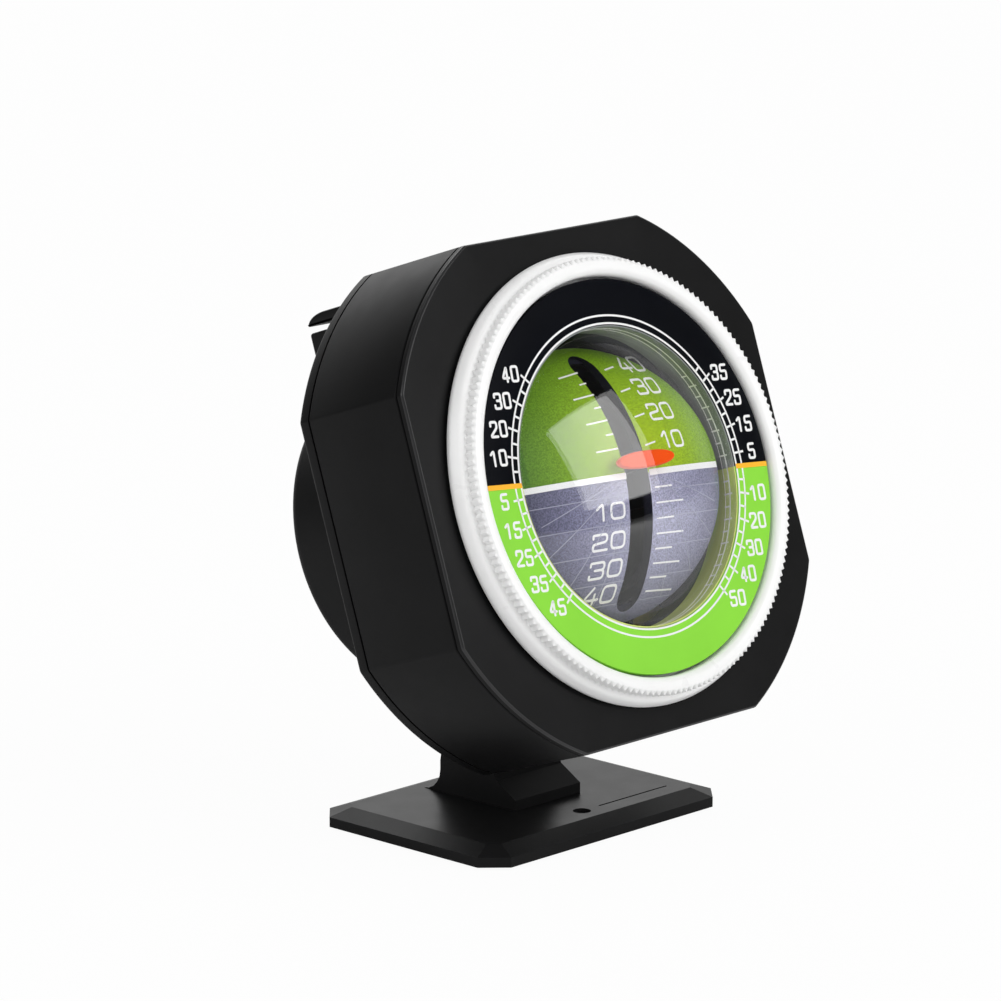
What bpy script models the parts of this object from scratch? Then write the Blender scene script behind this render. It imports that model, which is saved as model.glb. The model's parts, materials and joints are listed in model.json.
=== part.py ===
# Dashboard inclinometer: a foot, a case that leans back on it, a turnable ring with
# a printed dial and a dome, and two pendulums that show roll and pitch.
# Metres, +Z up. The origin is the centre of the pad's underside.
# The case is drawn in its own frame: X to the right, Y to the back, Z up, with its
# origin at the centre of the front face. An empty leans that frame back.
import math

import bmesh
import bpy
from mathutils import Euler, Matrix, Vector

MM = 0.001

# Driving dimensions of the case
case_half = 26.0 * MM
corner_share = 1.11346
corner_radius = case_half * corner_share
corner_blend = 0.8 * MM
case_depth = 15.45 * MM
lean_back = math.radians(18.9)
wall = 1.8 * MM

# Driving dimensions of the foot
base_half_x = 17.65 * MM
base_half_y = 13.0 * MM
base_corner_cut = 2.4 * MM
base_top_z = 2.2 * MM
hinge_y = 3.3 * MM
hinge_z = 10.0 * MM

# Driving dimensions of the dial, the can and the pendulums, most as shares of the case
ring_share = 0.86154
ring_radius = case_half * ring_share
ring_foot_step = 0.9 * MM
ring_foot_radius = ring_radius + ring_foot_step
ring_proud = 3.35 * MM
ring_turn = math.radians(5.4)
dial_proud = 2.5 * MM
window_share = 0.69196
window_radius = ring_radius * window_share
can_share = 0.65769
can_radius = case_half * can_share
can_depth = 14.75 * MM
dial_margin = 1.3 * MM
dial_radius = window_radius - dial_margin
dial_proud_apex = 3.5 * MM
tall_share = 1.26761
dial_radius_tall = dial_radius * tall_share
wide_share = 3.09859
dial_radius_wide = dial_radius * wide_share
roll_at_rest = math.radians(3.2)
pitch_at_rest = math.radians(3.7)

# Clearances
seat_gap = 0.3 * MM
running_gap = 0.06 * MM
pin_gap = 0.08 * MM
overlap = 0.3 * MM

# Rounding of edges
edge_round = 0.6 * MM
small_round = 0.4 * MM

# Numbers of sides
fine_steps = 60
round_steps = 40
small_steps = 20
screw_steps = 12


for item in list(bpy.data.objects):
    bpy.data.objects.remove(item, do_unlink=True)


def look(name, colour, roughness, metallic=0.0):
    """A plain material for one piece."""
    material = bpy.data.materials.new(name)
    material.use_nodes = True
    shader = material.node_tree.nodes["Principled BSDF"]
    shader.inputs["Base Color"].default_value = (*colour, 1.0)
    shader.inputs["Roughness"].default_value = roughness
    shader.inputs["Metallic"].default_value = metallic
    material.diffuse_color = (*colour, 1.0)
    return material


BLACK = ((0.02, 0.02, 0.022), 0.5, 0.0)
PAD_GREY = ((0.10, 0.10, 0.11), 0.9, 0.0)
STEEL = ((0.55, 0.56, 0.58), 0.3, 1.0)
BRASS = ((0.72, 0.55, 0.24), 0.35, 1.0)
WHITE = ((0.85, 0.85, 0.84), 0.35, 0.0)
LIME = ((0.26, 0.71, 0.05), 0.4, 0.0)
GREEN = ((0.20, 0.40, 0.05), 0.35, 0.0)
ORANGE = ((1.0, 0.10, 0.0), 0.4, 0.0)
CLEAR = ((0.9, 0.93, 0.95), 0.05, 0.0)


def empty(name, parent, location, turn=(0.0, 0.0, 0.0)):
    """A frame or a joint's axis."""
    marker = bpy.data.objects.new(name, None)
    marker.empty_display_size = seat_gap
    bpy.context.collection.objects.link(marker)
    marker.parent = parent
    marker.location = location
    marker.rotation_euler = Euler(turn)
    return marker


def new_object(name, bm, parent=None, surface=None):
    """Turns a bmesh into a named object with its faces pointing out."""
    bmesh.ops.recalc_face_normals(bm, faces=bm.faces)
    mesh = bpy.data.meshes.new(name)
    bm.to_mesh(mesh)
    bm.free()
    thing = bpy.data.objects.new(name, mesh)
    bpy.context.collection.objects.link(thing)
    thing.parent = parent
    if surface is not None:
        mesh.materials.append(look(name, *surface))
    return thing


def smooth(thing, angle=35):
    """Round pieces are shaded smooth, with their real edges kept sharp."""
    thing.data.shade_smooth()
    thing.data.set_sharp_from_angle(angle=math.radians(angle))
    return thing


AXES = {
    "X": lambda u, v, w: (w, u, v),
    "Y": lambda u, v, w: (u, w, v),
    "Z": lambda u, v, w: (u, v, w),
}


def stack_mesh(rings, axis):
    """A closed body through outlines of equal count, each at its own level on the axis."""
    bm = bmesh.new()
    place = AXES[axis]
    loops = []
    for outline, level in rings:
        loops.append([bm.verts.new(place(u, v, level)) for u, v in outline])
    bm.faces.new(loops[0])
    bm.faces.new(loops[-1])
    count = len(loops[0])
    for low, high in zip(loops, loops[1:]):
        for k in range(count):
            n = (k + 1) % count
            bm.faces.new((low[k], low[n], high[n], high[k]))
    return bm


def prism_mesh(outline, low, high, axis):
    return stack_mesh([(outline, low), (outline, high)], axis)


def turned_mesh(profile, steps, axis, centre=(0.0, 0.0)):
    """Spins a closed profile of (radius, level) points round the axis."""
    bm = bmesh.new()
    place = AXES[axis]
    verts = [bm.verts.new(place(radius, 0.0, level)) for radius, level in profile]
    edges = [bm.edges.new((verts[k], verts[k - 1])) for k in range(len(verts))]
    direction = Vector(place(0.0, 0.0, 1.0))
    bmesh.ops.spin(
        bm,
        geom=verts + edges,
        cent=(0.0, 0.0, 0.0),
        axis=direction,
        angle=math.tau,
        steps=steps,
        use_merge=True,
    )
    bmesh.ops.remove_doubles(bm, verts=bm.verts, dist=0.000001)
    flat = [f for f in bm.faces if f.calc_area() < 1e-14]
    bmesh.ops.delete(bm, geom=flat, context="FACES")
    loose = [e for e in bm.edges if not e.link_faces]
    bmesh.ops.delete(bm, geom=loose, context="EDGES")
    bmesh.ops.translate(bm, verts=bm.verts, vec=Vector(place(*centre, 0.0)))
    return bm


def box_mesh(low, high):
    corners = [(low[0], low[1]), (high[0], low[1]), (high[0], high[1]), (low[0], high[1])]
    return prism_mesh(corners, low[2], high[2], "Z")


def combine(thing, tools, operation):
    """Joins or cuts the tools, one by one, and keeps the result as the object's mesh."""
    for bm in tools:
        tool = new_object(thing.name + "_tool", bm)
        tool.hide_render = True
        tool.display_type = "WIRE"
        held, turned = thing.parent, thing.matrix_basis.copy()
        thing.parent = None
        thing.matrix_basis = Matrix.Identity(4)
        step = thing.modifiers.new("step", "BOOLEAN")
        step.operation = operation
        step.solver = "EXACT"
        step.object = tool
        bpy.context.view_layer.update()
        graph = bpy.context.evaluated_depsgraph_get()
        result = bpy.data.meshes.new_from_object(thing.evaluated_get(graph))
        thing.modifiers.remove(step)
        materials = list(thing.data.materials)
        thing.data = result
        thing.data.materials.clear()
        for material in materials:
            thing.data.materials.append(material)
        bpy.data.objects.remove(tool, do_unlink=True)
        thing.parent = held
        thing.matrix_basis = turned
    return thing


def join(thing, *tools):
    return combine(thing, tools, "UNION")


def cut(thing, *tools):
    return combine(thing, tools, "DIFFERENCE")


def case_outline(inset=0.0, blend=corner_blend, arc_steps=8, blend_steps=3):
    """The front outline: a square cut by a circle, with blended junctions."""
    half = case_half - inset
    radius = corner_radius - inset
    reach = math.sqrt((radius - blend) ** 2 - (half - blend) ** 2)
    bend = math.atan2(reach, half - blend)
    quarter = math.pi / 2
    points = []
    for turn in range(4):
        corner = []
        for k in range(blend_steps + 1):
            t = bend * k / blend_steps
            corner.append((half - blend + blend * math.cos(t), reach + blend * math.sin(t)))
        for k in range(1, arc_steps):
            t = bend + (quarter - 2 * bend) * k / arc_steps
            corner.append((radius * math.cos(t), radius * math.sin(t)))
        for k in range(blend_steps + 1):
            t = quarter - bend + bend * k / blend_steps
            corner.append((reach + blend * math.cos(t), half - blend + blend * math.sin(t)))
        c, s = math.cos(turn * quarter), math.sin(turn * quarter)
        points += [(x * c - z * s, x * s + z * c) for x, z in corner]
    return points


def cut_rectangle(half_x, half_y, corner):
    """A rectangle with its four corners cut at 45 degrees."""
    quarter = [(half_x, half_y - corner), (half_x - corner, half_y)]
    points = list(quarter)
    points += [(-x, y) for x, y in reversed(quarter)]
    points += [(-x, -y) for x, y in quarter]
    points += [(x, -y) for x, y in reversed(quarter)]
    return points


def rounded_rings(size, low, high, radius, steps=3):
    """Outlines for a plate whose outer edge is rounded at the low level."""
    rings = []
    for k in range(steps + 1):
        t = math.pi / 2 * k / steps
        rings.append((size + radius * (1 - math.sin(t)), low + radius * (1 - math.cos(t))))
    rings.append((size, high))
    return [(case_outline(inset), level) for inset, level in rings]


def arc(centre, radius, start, end, steps):
    """Points on an arc, angles in degrees."""
    points = []
    for k in range(steps + 1):
        t = math.radians(start + (end - start) * k / steps)
        points.append((centre[0] + radius * math.cos(t), centre[1] + radius * math.sin(t)))
    return points


def ball_level(centre, radius, distance):
    """Depth of a dome's surface at a distance from its axis."""
    return centre - math.sqrt(radius**2 - distance**2)


# Joint frames: the hinge lies below the can, behind the case's middle
hinge_behind_face = 24.11 * MM
hinge_below_can = 3.924 * MM
hinge_in_case = Vector((0, hinge_behind_face, -can_radius - hinge_below_can))
tilt_axis = empty("tilt_axis", None, (0, hinge_y, hinge_z), (-lean_back, 0, 0))
case_frame = empty("case_frame", tilt_axis, -hinge_in_case)
ring_axis = empty("ring_axis", case_frame, (0, 0, 0), (0, ring_turn, 0))
roll_axis = empty("roll_axis", case_frame, (0, 0, 0), (0, roll_at_rest, 0))
pitch_y = dial_radius_tall - dial_proud_apex
pitch_axis = empty("pitch_axis", roll_axis, (0, pitch_y, 0), (-pitch_at_rest, 0, 0))

# The foot: a pad, and one moulding with the base, the neck and the hinge's two ears
pad_inset = 1.4 * MM
pad_thick = 0.65 * MM
base_low = 0.35 * MM
base_edge_z = 1.4 * MM
bevel_run = 2.3 * MM
pad_outline = cut_rectangle(base_half_x - pad_inset, base_half_y - pad_inset, base_corner_cut)
pad_mesh = prism_mesh(pad_outline, 0, pad_thick, "Z")
adhesive_pad = new_object("adhesive_pad", pad_mesh, None, PAD_GREY)

base_outline = cut_rectangle(base_half_x, base_half_y, base_corner_cut)
top_cut = base_corner_cut - bevel_run * (2 - math.sqrt(2))
top_outline = cut_rectangle(base_half_x - bevel_run, base_half_y - bevel_run, top_cut)
base_rings = [(base_outline, base_low), (base_outline, base_edge_z), (top_outline, base_top_z)]
stand = new_object("stand", stack_mesh(base_rings, "Z"), None, BLACK)

neck_half_x = 4.9 * MM
ear_radius = 3.0 * MM
neck_front_y = -3.7 * MM
neck_back_y = 7.1 * MM
neck_sink = 0.4 * MM
foot_flare = 2.4 * MM
slope_low_z = 3.3 * MM
slope_top_y = -1.0 * MM
slope_top_z = 4.9 * MM
brow_y = -0.1 * MM
brow_z = 6.6 * MM
waist_z = 5.6 * MM
neck_profile = [
    (neck_front_y, base_top_z - neck_sink),
    (neck_front_y, slope_low_z),
    (slope_top_y, slope_top_z),
    (brow_y, brow_z),
]
neck_profile += arc((hinge_y, hinge_z), ear_radius, 180, 0, 12)
neck_profile += [(neck_back_y, waist_z)]
neck_profile += arc(
    (neck_back_y + foot_flare, base_top_z + foot_flare), foot_flare, 180, 270, 5
)
neck_profile += [(neck_back_y + foot_flare, base_top_z - neck_sink)]
join(stand, prism_mesh(neck_profile, -neck_half_x, neck_half_x, "X"))

knuckle_half_x = 1.6 * MM
washer_thick = 0.35 * MM
ear_gap_half = knuckle_half_x + washer_thick + seat_gap
ear_slot_floor = hinge_z - ear_radius - 2 * seat_gap
pin_radius = 0.8 * MM
hole_radius = pin_radius + pin_gap
above = hinge_z + 2 * ear_radius
far_y = base_half_y
ear_slot = box_mesh((-ear_gap_half, -far_y, ear_slot_floor), (ear_gap_half, far_y, above))
pad_recess_outline = cut_rectangle(
    base_half_x - pad_inset + seat_gap, base_half_y - pad_inset + seat_gap, base_corner_cut
)
pad_recess = prism_mesh(pad_recess_outline, -base_low, pad_thick + seat_gap, "Z")
pin_hole = turned_mesh(
    [(0, -base_half_x), (hole_radius, -base_half_x), (hole_radius, base_half_x), (0, base_half_x)],
    small_steps,
    "X",
    (hinge_y, hinge_z),
)
cut(stand, ear_slot, pad_recess, pin_hole)

# A round dimple and a fine groove in the base's top, in front of the neck
dimple_radius = 0.95 * MM
dimple_y = -8.5 * MM
dimple_depth = 0.35 * MM
groove_half = 0.13 * MM
groove_left_x = 2.6 * MM
groove_right_x = 13.0 * MM
dimple = turned_mesh(
    [
        (0, base_top_z - dimple_depth),
        (dimple_radius, base_top_z - dimple_depth),
        (dimple_radius, base_top_z + dimple_depth),
        (0, base_top_z + dimple_depth),
    ],
    small_steps,
    "Z",
    (0, dimple_y),
)
groove = box_mesh(
    (groove_left_x, dimple_y - groove_half, base_top_z - groove_half),
    (groove_right_x, dimple_y + groove_half, base_top_z + dimple_depth),
)
cut(stand, dimple, groove)

# The tilt hinge: a headed pin, a nut and two washers
pin_head_radius = 1.5 * MM
pin_head_thick = 0.6 * MM
nut_radius = 1.8 * MM
nut_thick = 0.9 * MM
pin_end = neck_half_x + seat_gap
pin_profile = [
    (0, -pin_end - pin_head_thick),
    (pin_head_radius, -pin_end - pin_head_thick),
    (pin_head_radius, -pin_end),
    (pin_radius, -pin_end),
    (pin_radius, pin_end + nut_thick + seat_gap),
    (0, pin_end + nut_thick + seat_gap),
]
hinge_mesh = turned_mesh(pin_profile, small_steps, "X", (hinge_y, hinge_z))
hinge_pin = smooth(new_object("hinge_pin", hinge_mesh, None, STEEL))


def collar_mesh(inner, outer, low, high, steps, axis, centre=(0.0, 0.0)):
    profile = [(inner, low), (outer, low), (outer, high), (inner, high)]
    return turned_mesh(profile, steps, axis, centre)


hex_bore = hole_radius / math.cos(math.pi / 6)
nut_mesh = collar_mesh(hex_bore, nut_radius, pin_end, pin_end + nut_thick, 6, "X", (hinge_y, hinge_z))
hinge_nut = new_object("hinge_nut", nut_mesh, None, STEEL)
washer_radius = 2.3 * MM
for side, name in ((-1, "hinge_washer_left"), (1, "hinge_washer_right")):
    near = side * (knuckle_half_x + 0.5 * seat_gap)
    far = near + side * washer_thick
    washer_mesh = collar_mesh(
        hole_radius, washer_radius, min(near, far), max(near, far), small_steps, "X", (hinge_y, hinge_z)
    )
    smooth(new_object(name, washer_mesh, None, STEEL))

# The case's body: a tube with four bosses for the cover's screws and two stops for the roll weight
plate_thick = 1.3 * MM
cover_thick = 1.45 * MM
body_front = plate_thick + seat_gap
body_back = case_depth - cover_thick - seat_gap
body_rings = rounded_rings(0.0, body_front, body_back, small_round)
case_body = new_object("case_body", stack_mesh(body_rings, "Y"), case_frame, BLACK)
cut(case_body, prism_mesh(case_outline(wall), -case_depth, 2 * case_depth, "Y"))
boss_share = 0.7
boss_at = case_half * boss_share
boss_radius = 2.2 * MM
boss_front = 4.5 * MM
screw_radius = 0.7 * MM
screw_hole = screw_radius + pin_gap
screw_reach = 6.0 * MM
corners = [(-boss_at, boss_at), (boss_at, boss_at), (boss_at, -boss_at), (-boss_at, -boss_at)]
for x, z in corners:
    boss_profile = [(0, boss_front), (boss_radius, boss_front), (boss_radius, body_back), (0, body_back)]
    join(case_body, turned_mesh(boss_profile, small_steps, "Y", (x, z)))
stop_angle = math.radians(60)
weight_half_angle = math.radians(34)
weight_share = 0.75385
weight_outer = case_half * weight_share
weight_width = 4.4 * MM
weight_inner = weight_outer - weight_width
weight_front = 6.7 * MM
weight_back = body_back - seat_gap
stop_overlap = 2.6 * MM
stop_reach = weight_outer - stop_overlap
stop_thick = 1.6 * MM
stop_angle_up = weight_half_angle + stop_angle - math.pi / 2
stop_low = weight_outer * math.sin(stop_angle_up) + 0.5 * seat_gap
for side in (-1, 1):
    inner_x = side * stop_reach
    outer_x = side * (case_half - wall + overlap)
    low = (min(inner_x, outer_x), weight_front, stop_low)
    high = (max(inner_x, outer_x), weight_back, stop_low + stop_thick)
    join(case_body, box_mesh(low, high))
for x, z in corners:
    hole = [
        (0, body_back - screw_reach - seat_gap),
        (screw_hole, body_back - screw_reach - seat_gap),
        (screw_hole, body_back + cover_thick),
        (0, body_back + cover_thick),
    ]
    cut(case_body, turned_mesh(hole, screw_steps, "Y", (x, z)))

# The front plate: rounded outer edge, round opening, four locating lugs behind
skirt_step = 1.0 * MM
skirt_outer = ring_radius - skirt_step
opening_radius = skirt_outer + seat_gap
lug_depth = 3.3 * MM
lug_step = 2.6 * MM
lug_inner = opening_radius + lug_step
plate_mesh = stack_mesh(rounded_rings(0.0, 0.0, plate_thick, edge_round), "Y")
face_plate = new_object("face_plate", plate_mesh, case_frame, BLACK)
lugs = prism_mesh(case_outline(wall + seat_gap), plate_thick - overlap, lug_depth, "Y")
lug_thing = new_object("lug_tool_body", lugs)
cut(lug_thing, turned_mesh(
    [(0, 0), (lug_inner, 0), (lug_inner, case_depth), (0, case_depth)], fine_steps, "Y"
))
lug_mesh = bmesh.new()
lug_mesh.from_mesh(lug_thing.data)
bpy.data.objects.remove(lug_thing, do_unlink=True)
join(face_plate, lug_mesh)
opening = [(0, -plate_thick), (opening_radius, -plate_thick), (opening_radius, lug_depth), (0, lug_depth)]
cut(face_plate, turned_mesh(opening, fine_steps, "Y"))

# The rear cover: rounded rear edge, round opening for the can, countersunk screw seats
can_wall = 1.5 * MM
spigot_radius = can_radius - can_wall
cover_bore = spigot_radius + seat_gap
cover_front = case_depth - cover_thick
cover_rings = []
for outline, level in rounded_rings(0.0, 0.0, cover_thick, small_round):
    cover_rings.append((outline, case_depth - level))
rear_cover = new_object("rear_cover", stack_mesh(cover_rings, "Y"), case_frame, BLACK)
cut(rear_cover, turned_mesh(
    [(0, 0), (cover_bore, 0), (cover_bore, 2 * case_depth), (0, 2 * case_depth)], fine_steps, "Y"
))
head_radius = 1.6 * MM
head_thick = 0.6 * MM
head_seat = case_depth - head_thick - seat_gap
for x, z in corners:
    seat = [
        (0, 0),
        (screw_radius + seat_gap, 0),
        (screw_radius + seat_gap, head_seat),
        (head_radius + seat_gap, head_seat),
        (head_radius + seat_gap, case_depth + cover_thick),
        (0, case_depth + cover_thick),
    ]
    cut(rear_cover, turned_mesh(seat, screw_steps, "Y", (x, z)))
for number, (x, z) in enumerate(corners, 1):
    screw_profile = [
        (0, body_back - screw_reach),
        (screw_radius, body_back - screw_reach),
        (screw_radius, head_seat + 0.5 * seat_gap),
        (head_radius, head_seat + 0.5 * seat_gap),
        (head_radius, case_depth - 0.5 * seat_gap),
        (0, case_depth - 0.5 * seat_gap),
    ]
    screw_mesh = turned_mesh(screw_profile, screw_steps, "Y", (x, z))
    smooth(new_object("cover_screw_%d" % number, screw_mesh, case_frame, STEEL))

# The can behind the cover, with the axle's boss and the hinge knuckle
can_front = case_depth + seat_gap
can_back = can_front + can_depth - seat_gap
can_round = 0.8 * MM
spigot_front = cover_front + seat_gap
spigot_wall = 1.0 * MM
axle_radius = 1.2 * MM
axle_hole = axle_radius + pin_gap
axle_boss = 3.0 * MM
axle_head = 2.4 * MM
axle_head_thick = 0.5 * MM
axle_head_seat = can_back - axle_head_thick - 2 * seat_gap
boss_depth = 1.1 * MM
can_profile = [
    (axle_hole, can_back - can_wall - boss_depth),
    (axle_boss, can_back - can_wall - boss_depth),
    (axle_boss, can_back - can_wall),
    (can_radius - can_wall, can_back - can_wall),
    (can_radius - can_wall, can_front + spigot_wall),
    (spigot_radius - spigot_wall, can_front + spigot_wall),
    (spigot_radius - spigot_wall, spigot_front),
    (spigot_radius, spigot_front),
    (spigot_radius, can_front),
    (can_radius, can_front),
]
can_profile += arc((can_radius - can_round, can_back - can_round), can_round, 0, 90, 4)
can_profile += [
    (axle_head + seat_gap, can_back),
    (axle_head + seat_gap, axle_head_seat),
    (axle_hole, axle_head_seat),
]
rear_can = new_object("rear_can", turned_mesh(can_profile, fine_steps, "Y"), case_frame, BLACK)
knuckle_radius = 2.7 * MM
knuckle_root = 0.5 * can_wall
hinge_u, hinge_v = hinge_in_case.y, hinge_in_case.z
knuckle_profile = arc((hinge_u, hinge_v), knuckle_radius, 180, 360, 14)
root_z = -can_radius + knuckle_root
knuckle_profile += [(hinge_u + knuckle_radius, root_z), (hinge_u - knuckle_radius, root_z)]
join(rear_can, prism_mesh(knuckle_profile, -knuckle_half_x, knuckle_half_x, "X"))
cut(rear_can, turned_mesh(
    [(0, -case_half), (hole_radius, -case_half), (hole_radius, case_half), (0, case_half)],
    small_steps,
    "X",
    (hinge_u, hinge_v),
))
smooth(rear_can)

# The roll axle with its head behind the can and a clip near its front end
hub_behind_pin = 5.3 * MM
hub_front = pitch_y + hub_behind_pin
clip_back = hub_front - 0.4 * MM
clip_thick = 0.4 * MM
neck_of_axle = 0.85 * MM
axle_tip = clip_back - clip_thick - 0.5 * MM
groove_play = 0.05 * MM
axle_profile = [
    (0, axle_tip),
    (axle_radius, axle_tip),
    (axle_radius, clip_back - clip_thick - groove_play),
    (neck_of_axle, clip_back - clip_thick - groove_play),
    (neck_of_axle, clip_back + groove_play),
    (axle_radius, clip_back + groove_play),
    (axle_radius, axle_head_seat + seat_gap),
    (axle_head, axle_head_seat + seat_gap),
    (axle_head, axle_head_seat + seat_gap + axle_head_thick),
    (0, axle_head_seat + seat_gap + axle_head_thick),
]
axle_mesh = turned_mesh(axle_profile, small_steps, "Y")
roll_axle = smooth(new_object("roll_axle", axle_mesh, case_frame, STEEL))
clip_radius = 2.2 * MM
clip_mesh = collar_mesh(
    neck_of_axle + pin_gap, clip_radius, clip_back - clip_thick, clip_back, small_steps, "Y"
)
axle_clip = smooth(new_object("axle_clip", clip_mesh, case_frame, STEEL))

# The clip on the can: a block and, over a narrow slit, a leaf with a rounded nose
clip_half_x = 8.0 * MM
clip_end = can_back - 0.2 * MM
block_long = 9.5 * MM
block_front = clip_end - block_long
block_rise = 5.2 * MM
block_top = can_radius + block_rise
slit = 0.7 * MM
leaf_thick = 1.2 * MM
leaf_long = 14.0 * MM
leaf_front = clip_end - leaf_long
leaf_root_front = block_front + seat_gap
leaf_root_long = 2.6 * MM
leaf_root_back = leaf_root_front + leaf_root_long
leaf_low = block_top + slit
leaf_top = leaf_low + leaf_thick
clip_block = new_object(
    "clip_block",
    box_mesh((-clip_half_x, block_front, 0), (clip_half_x, clip_end, block_top)),
    case_frame,
    BLACK,
)
can_clear = [
    (0, 0),
    (can_radius + seat_gap, 0),
    (can_radius + seat_gap, 2 * can_back),
    (0, 2 * can_back),
]
cut(clip_block, turned_mesh(can_clear, fine_steps, "Y"))
nose = 2.7 * MM
nose_profile = [(leaf_front, leaf_low), (clip_end, leaf_low)]
nose_steps = 5
for k in range(1, nose_steps + 1):
    t = math.pi / 2 * k / nose_steps
    nose_profile.append((clip_end - nose * (1 - math.cos(t)), leaf_low + leaf_thick * math.sin(t)))
nose_profile.append((leaf_front, leaf_top))
leaf_mesh = prism_mesh(nose_profile, -clip_half_x, clip_half_x, "X")
clip_leaf = new_object("clip_leaf", leaf_mesh, case_frame, BLACK)
join(clip_leaf, box_mesh(
    (-clip_half_x, leaf_root_front, block_top + seat_gap),
    (clip_half_x, leaf_root_back, leaf_low + 0.5 * leaf_thick),
))
clip_screw_y = 0.5 * (leaf_root_front + leaf_root_back)
clip_screw_reach = 3.0 * MM
clip_hole = [(0, 0), (screw_hole, 0), (screw_hole, 2 * leaf_top), (0, 2 * leaf_top)]
cut(clip_leaf, turned_mesh(clip_hole, screw_steps, "Z", (0, clip_screw_y)))
block_hole = [
    (0, block_top - clip_screw_reach - seat_gap),
    (screw_hole, block_top - clip_screw_reach - seat_gap),
    (screw_hole, 2 * leaf_top),
    (0, 2 * leaf_top),
]
cut(clip_block, turned_mesh(block_hole, screw_steps, "Z", (0, clip_screw_y)))
clip_screw_profile = [
    (0, block_top - clip_screw_reach),
    (screw_radius, block_top - clip_screw_reach),
    (screw_radius, leaf_top + 0.5 * seat_gap),
    (head_radius, leaf_top + 0.5 * seat_gap),
    (head_radius, leaf_top + 0.5 * seat_gap + head_thick),
    (0, leaf_top + 0.5 * seat_gap + head_thick),
]
clip_screw_mesh = turned_mesh(clip_screw_profile, screw_steps, "Z", (0, clip_screw_y))
smooth(new_object("clip_screw", clip_screw_mesh, case_frame, STEEL))

# The ring: a smooth foot, a toothed band, a lip round the dial and a skirt through the plate
dial_step = 2.2 * MM
dial_outer = ring_radius - dial_step
lip_radius = dial_outer + seat_gap
skirt_wall = 2.0 * MM
skirt_inner = skirt_outer - skirt_wall
skirt_depth = 3.2 * MM
ring_back = -seat_gap
tooth_low = -2.15 * MM
tooth_high = -3.2 * MM
tooth_height = 0.4 * MM
tooth_root = ring_radius - tooth_height
tooth_count = 176
lip_level = -2.9 * MM
foot_level = -0.9 * MM
shoulder_step = 0.1 * MM
shoulder_radius = ring_radius + shoulder_step
crown_step = 0.7 * MM
crown_radius = ring_radius - crown_step
ring_profile = [
    (lip_radius, lip_level),
    (lip_radius, ring_back),
    (skirt_inner, ring_back),
    (skirt_inner, skirt_depth),
    (skirt_outer, skirt_depth),
    (skirt_outer, ring_back),
    (ring_foot_radius, ring_back),
    (ring_foot_radius - 0.5 * seat_gap, foot_level),
    (shoulder_radius, tooth_low + 0.5 * seat_gap),
    (tooth_root, tooth_low),
    (tooth_root, tooth_high),
    (crown_radius, -ring_proud),
]
ring_mesh = turned_mesh(ring_profile, fine_steps, "Y")
serrated_ring = new_object("serrated_ring", ring_mesh, ring_axis, WHITE)
tooth_sink = 0.1 * MM
tooth_margin = 0.05 * MM
tooth_outline = []
for k in range(tooth_count):
    for radius, share in ((tooth_root - tooth_sink, 0.0), (ring_radius, 0.5)):
        t = math.tau * (k + share) / tooth_count
        tooth_outline.append((radius * math.cos(t), radius * math.sin(t)))
band_mesh = prism_mesh(tooth_outline, tooth_high + tooth_margin, tooth_low - tooth_margin, "Y")
band_thing = new_object("band_tool_body", band_mesh)
band_inner = 0.5 * (lip_radius + tooth_root)
cut(band_thing, turned_mesh(
    [(0, -case_depth), (band_inner, -case_depth), (band_inner, case_depth), (0, case_depth)],
    fine_steps,
    "Y",
))
band_mesh = bmesh.new()
band_mesh.from_mesh(band_thing.data)
bpy.data.objects.remove(band_thing, do_unlink=True)
join(serrated_ring, band_mesh)
smooth(serrated_ring, 25)

# The printed dial and the clear dome, both seated in the ring, and the ring that holds them in
dial_thick = 0.8 * MM
dial_back = -dial_proud + dial_thick
outer_dial = new_object(
    "outer_dial",
    collar_mesh(window_radius, dial_outer, -dial_proud, dial_back, fine_steps, "Y"),
    ring_axis,
    LIME,
)
smooth(outer_dial)
dome_radius = window_radius - seat_gap
dome_thick = 1.2 * MM
dome_apex = -8.0 * MM
dome_rise = -dial_proud - dome_apex
dome_curve = (dome_radius**2 + dome_rise**2) / (2 * dome_rise)
dome_centre = dome_apex + dome_curve
flange_front = dial_back + seat_gap
flange_back = ring_back - seat_gap
dome_bore = dome_radius - 0.25 * MM
dome_steps = 6
dome_profile = []
for k in range(dome_steps + 1):
    distance = dome_radius * k / dome_steps
    dome_profile.append((distance, ball_level(dome_centre, dome_curve, distance)))
dome_profile += [
    (dome_radius, flange_front),
    (dial_outer, flange_front),
    (dial_outer, flange_back),
    (dome_bore, flange_back),
]
for k in range(dome_steps, -1, -1):
    distance = dome_bore * k / dome_steps
    dome_profile.append((distance, ball_level(dome_centre, dome_curve - dome_thick, distance)))
dome_mesh = turned_mesh(dome_profile, round_steps, "Y")
dome_lens = smooth(new_object("dome_lens", dome_mesh, ring_axis, CLEAR))
retainer_step = 0.1 * MM
retainer_outer = ring_foot_radius + retainer_step
retainer_front = plate_thick + seat_gap
retainer_thick = 0.8 * MM
retainer_mesh = collar_mesh(
    skirt_outer + pin_gap,
    retainer_outer,
    retainer_front,
    retainer_front + retainer_thick,
    fine_steps,
    "Y",
)
ring_retainer = smooth(new_object("ring_retainer", retainer_mesh, ring_axis, BLACK))

# The inner dial: tall curve about the pitch axis, gentle curve across, slot for the pointer's arm
dial_shell = 1.2 * MM
dial_rim = 1.8 * MM
dial_rim_back = 4.5 * MM


def dial_level(x, z, shell=0.0):
    """Depth of the dial's front surface, or of the surface one shell behind it."""
    tall = dial_radius_tall - math.sqrt(dial_radius_tall**2 - z**2)
    wide = dial_radius_wide - math.sqrt(dial_radius_wide**2 - x**2)
    return -dial_proud_apex + tall + wide + shell


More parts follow.
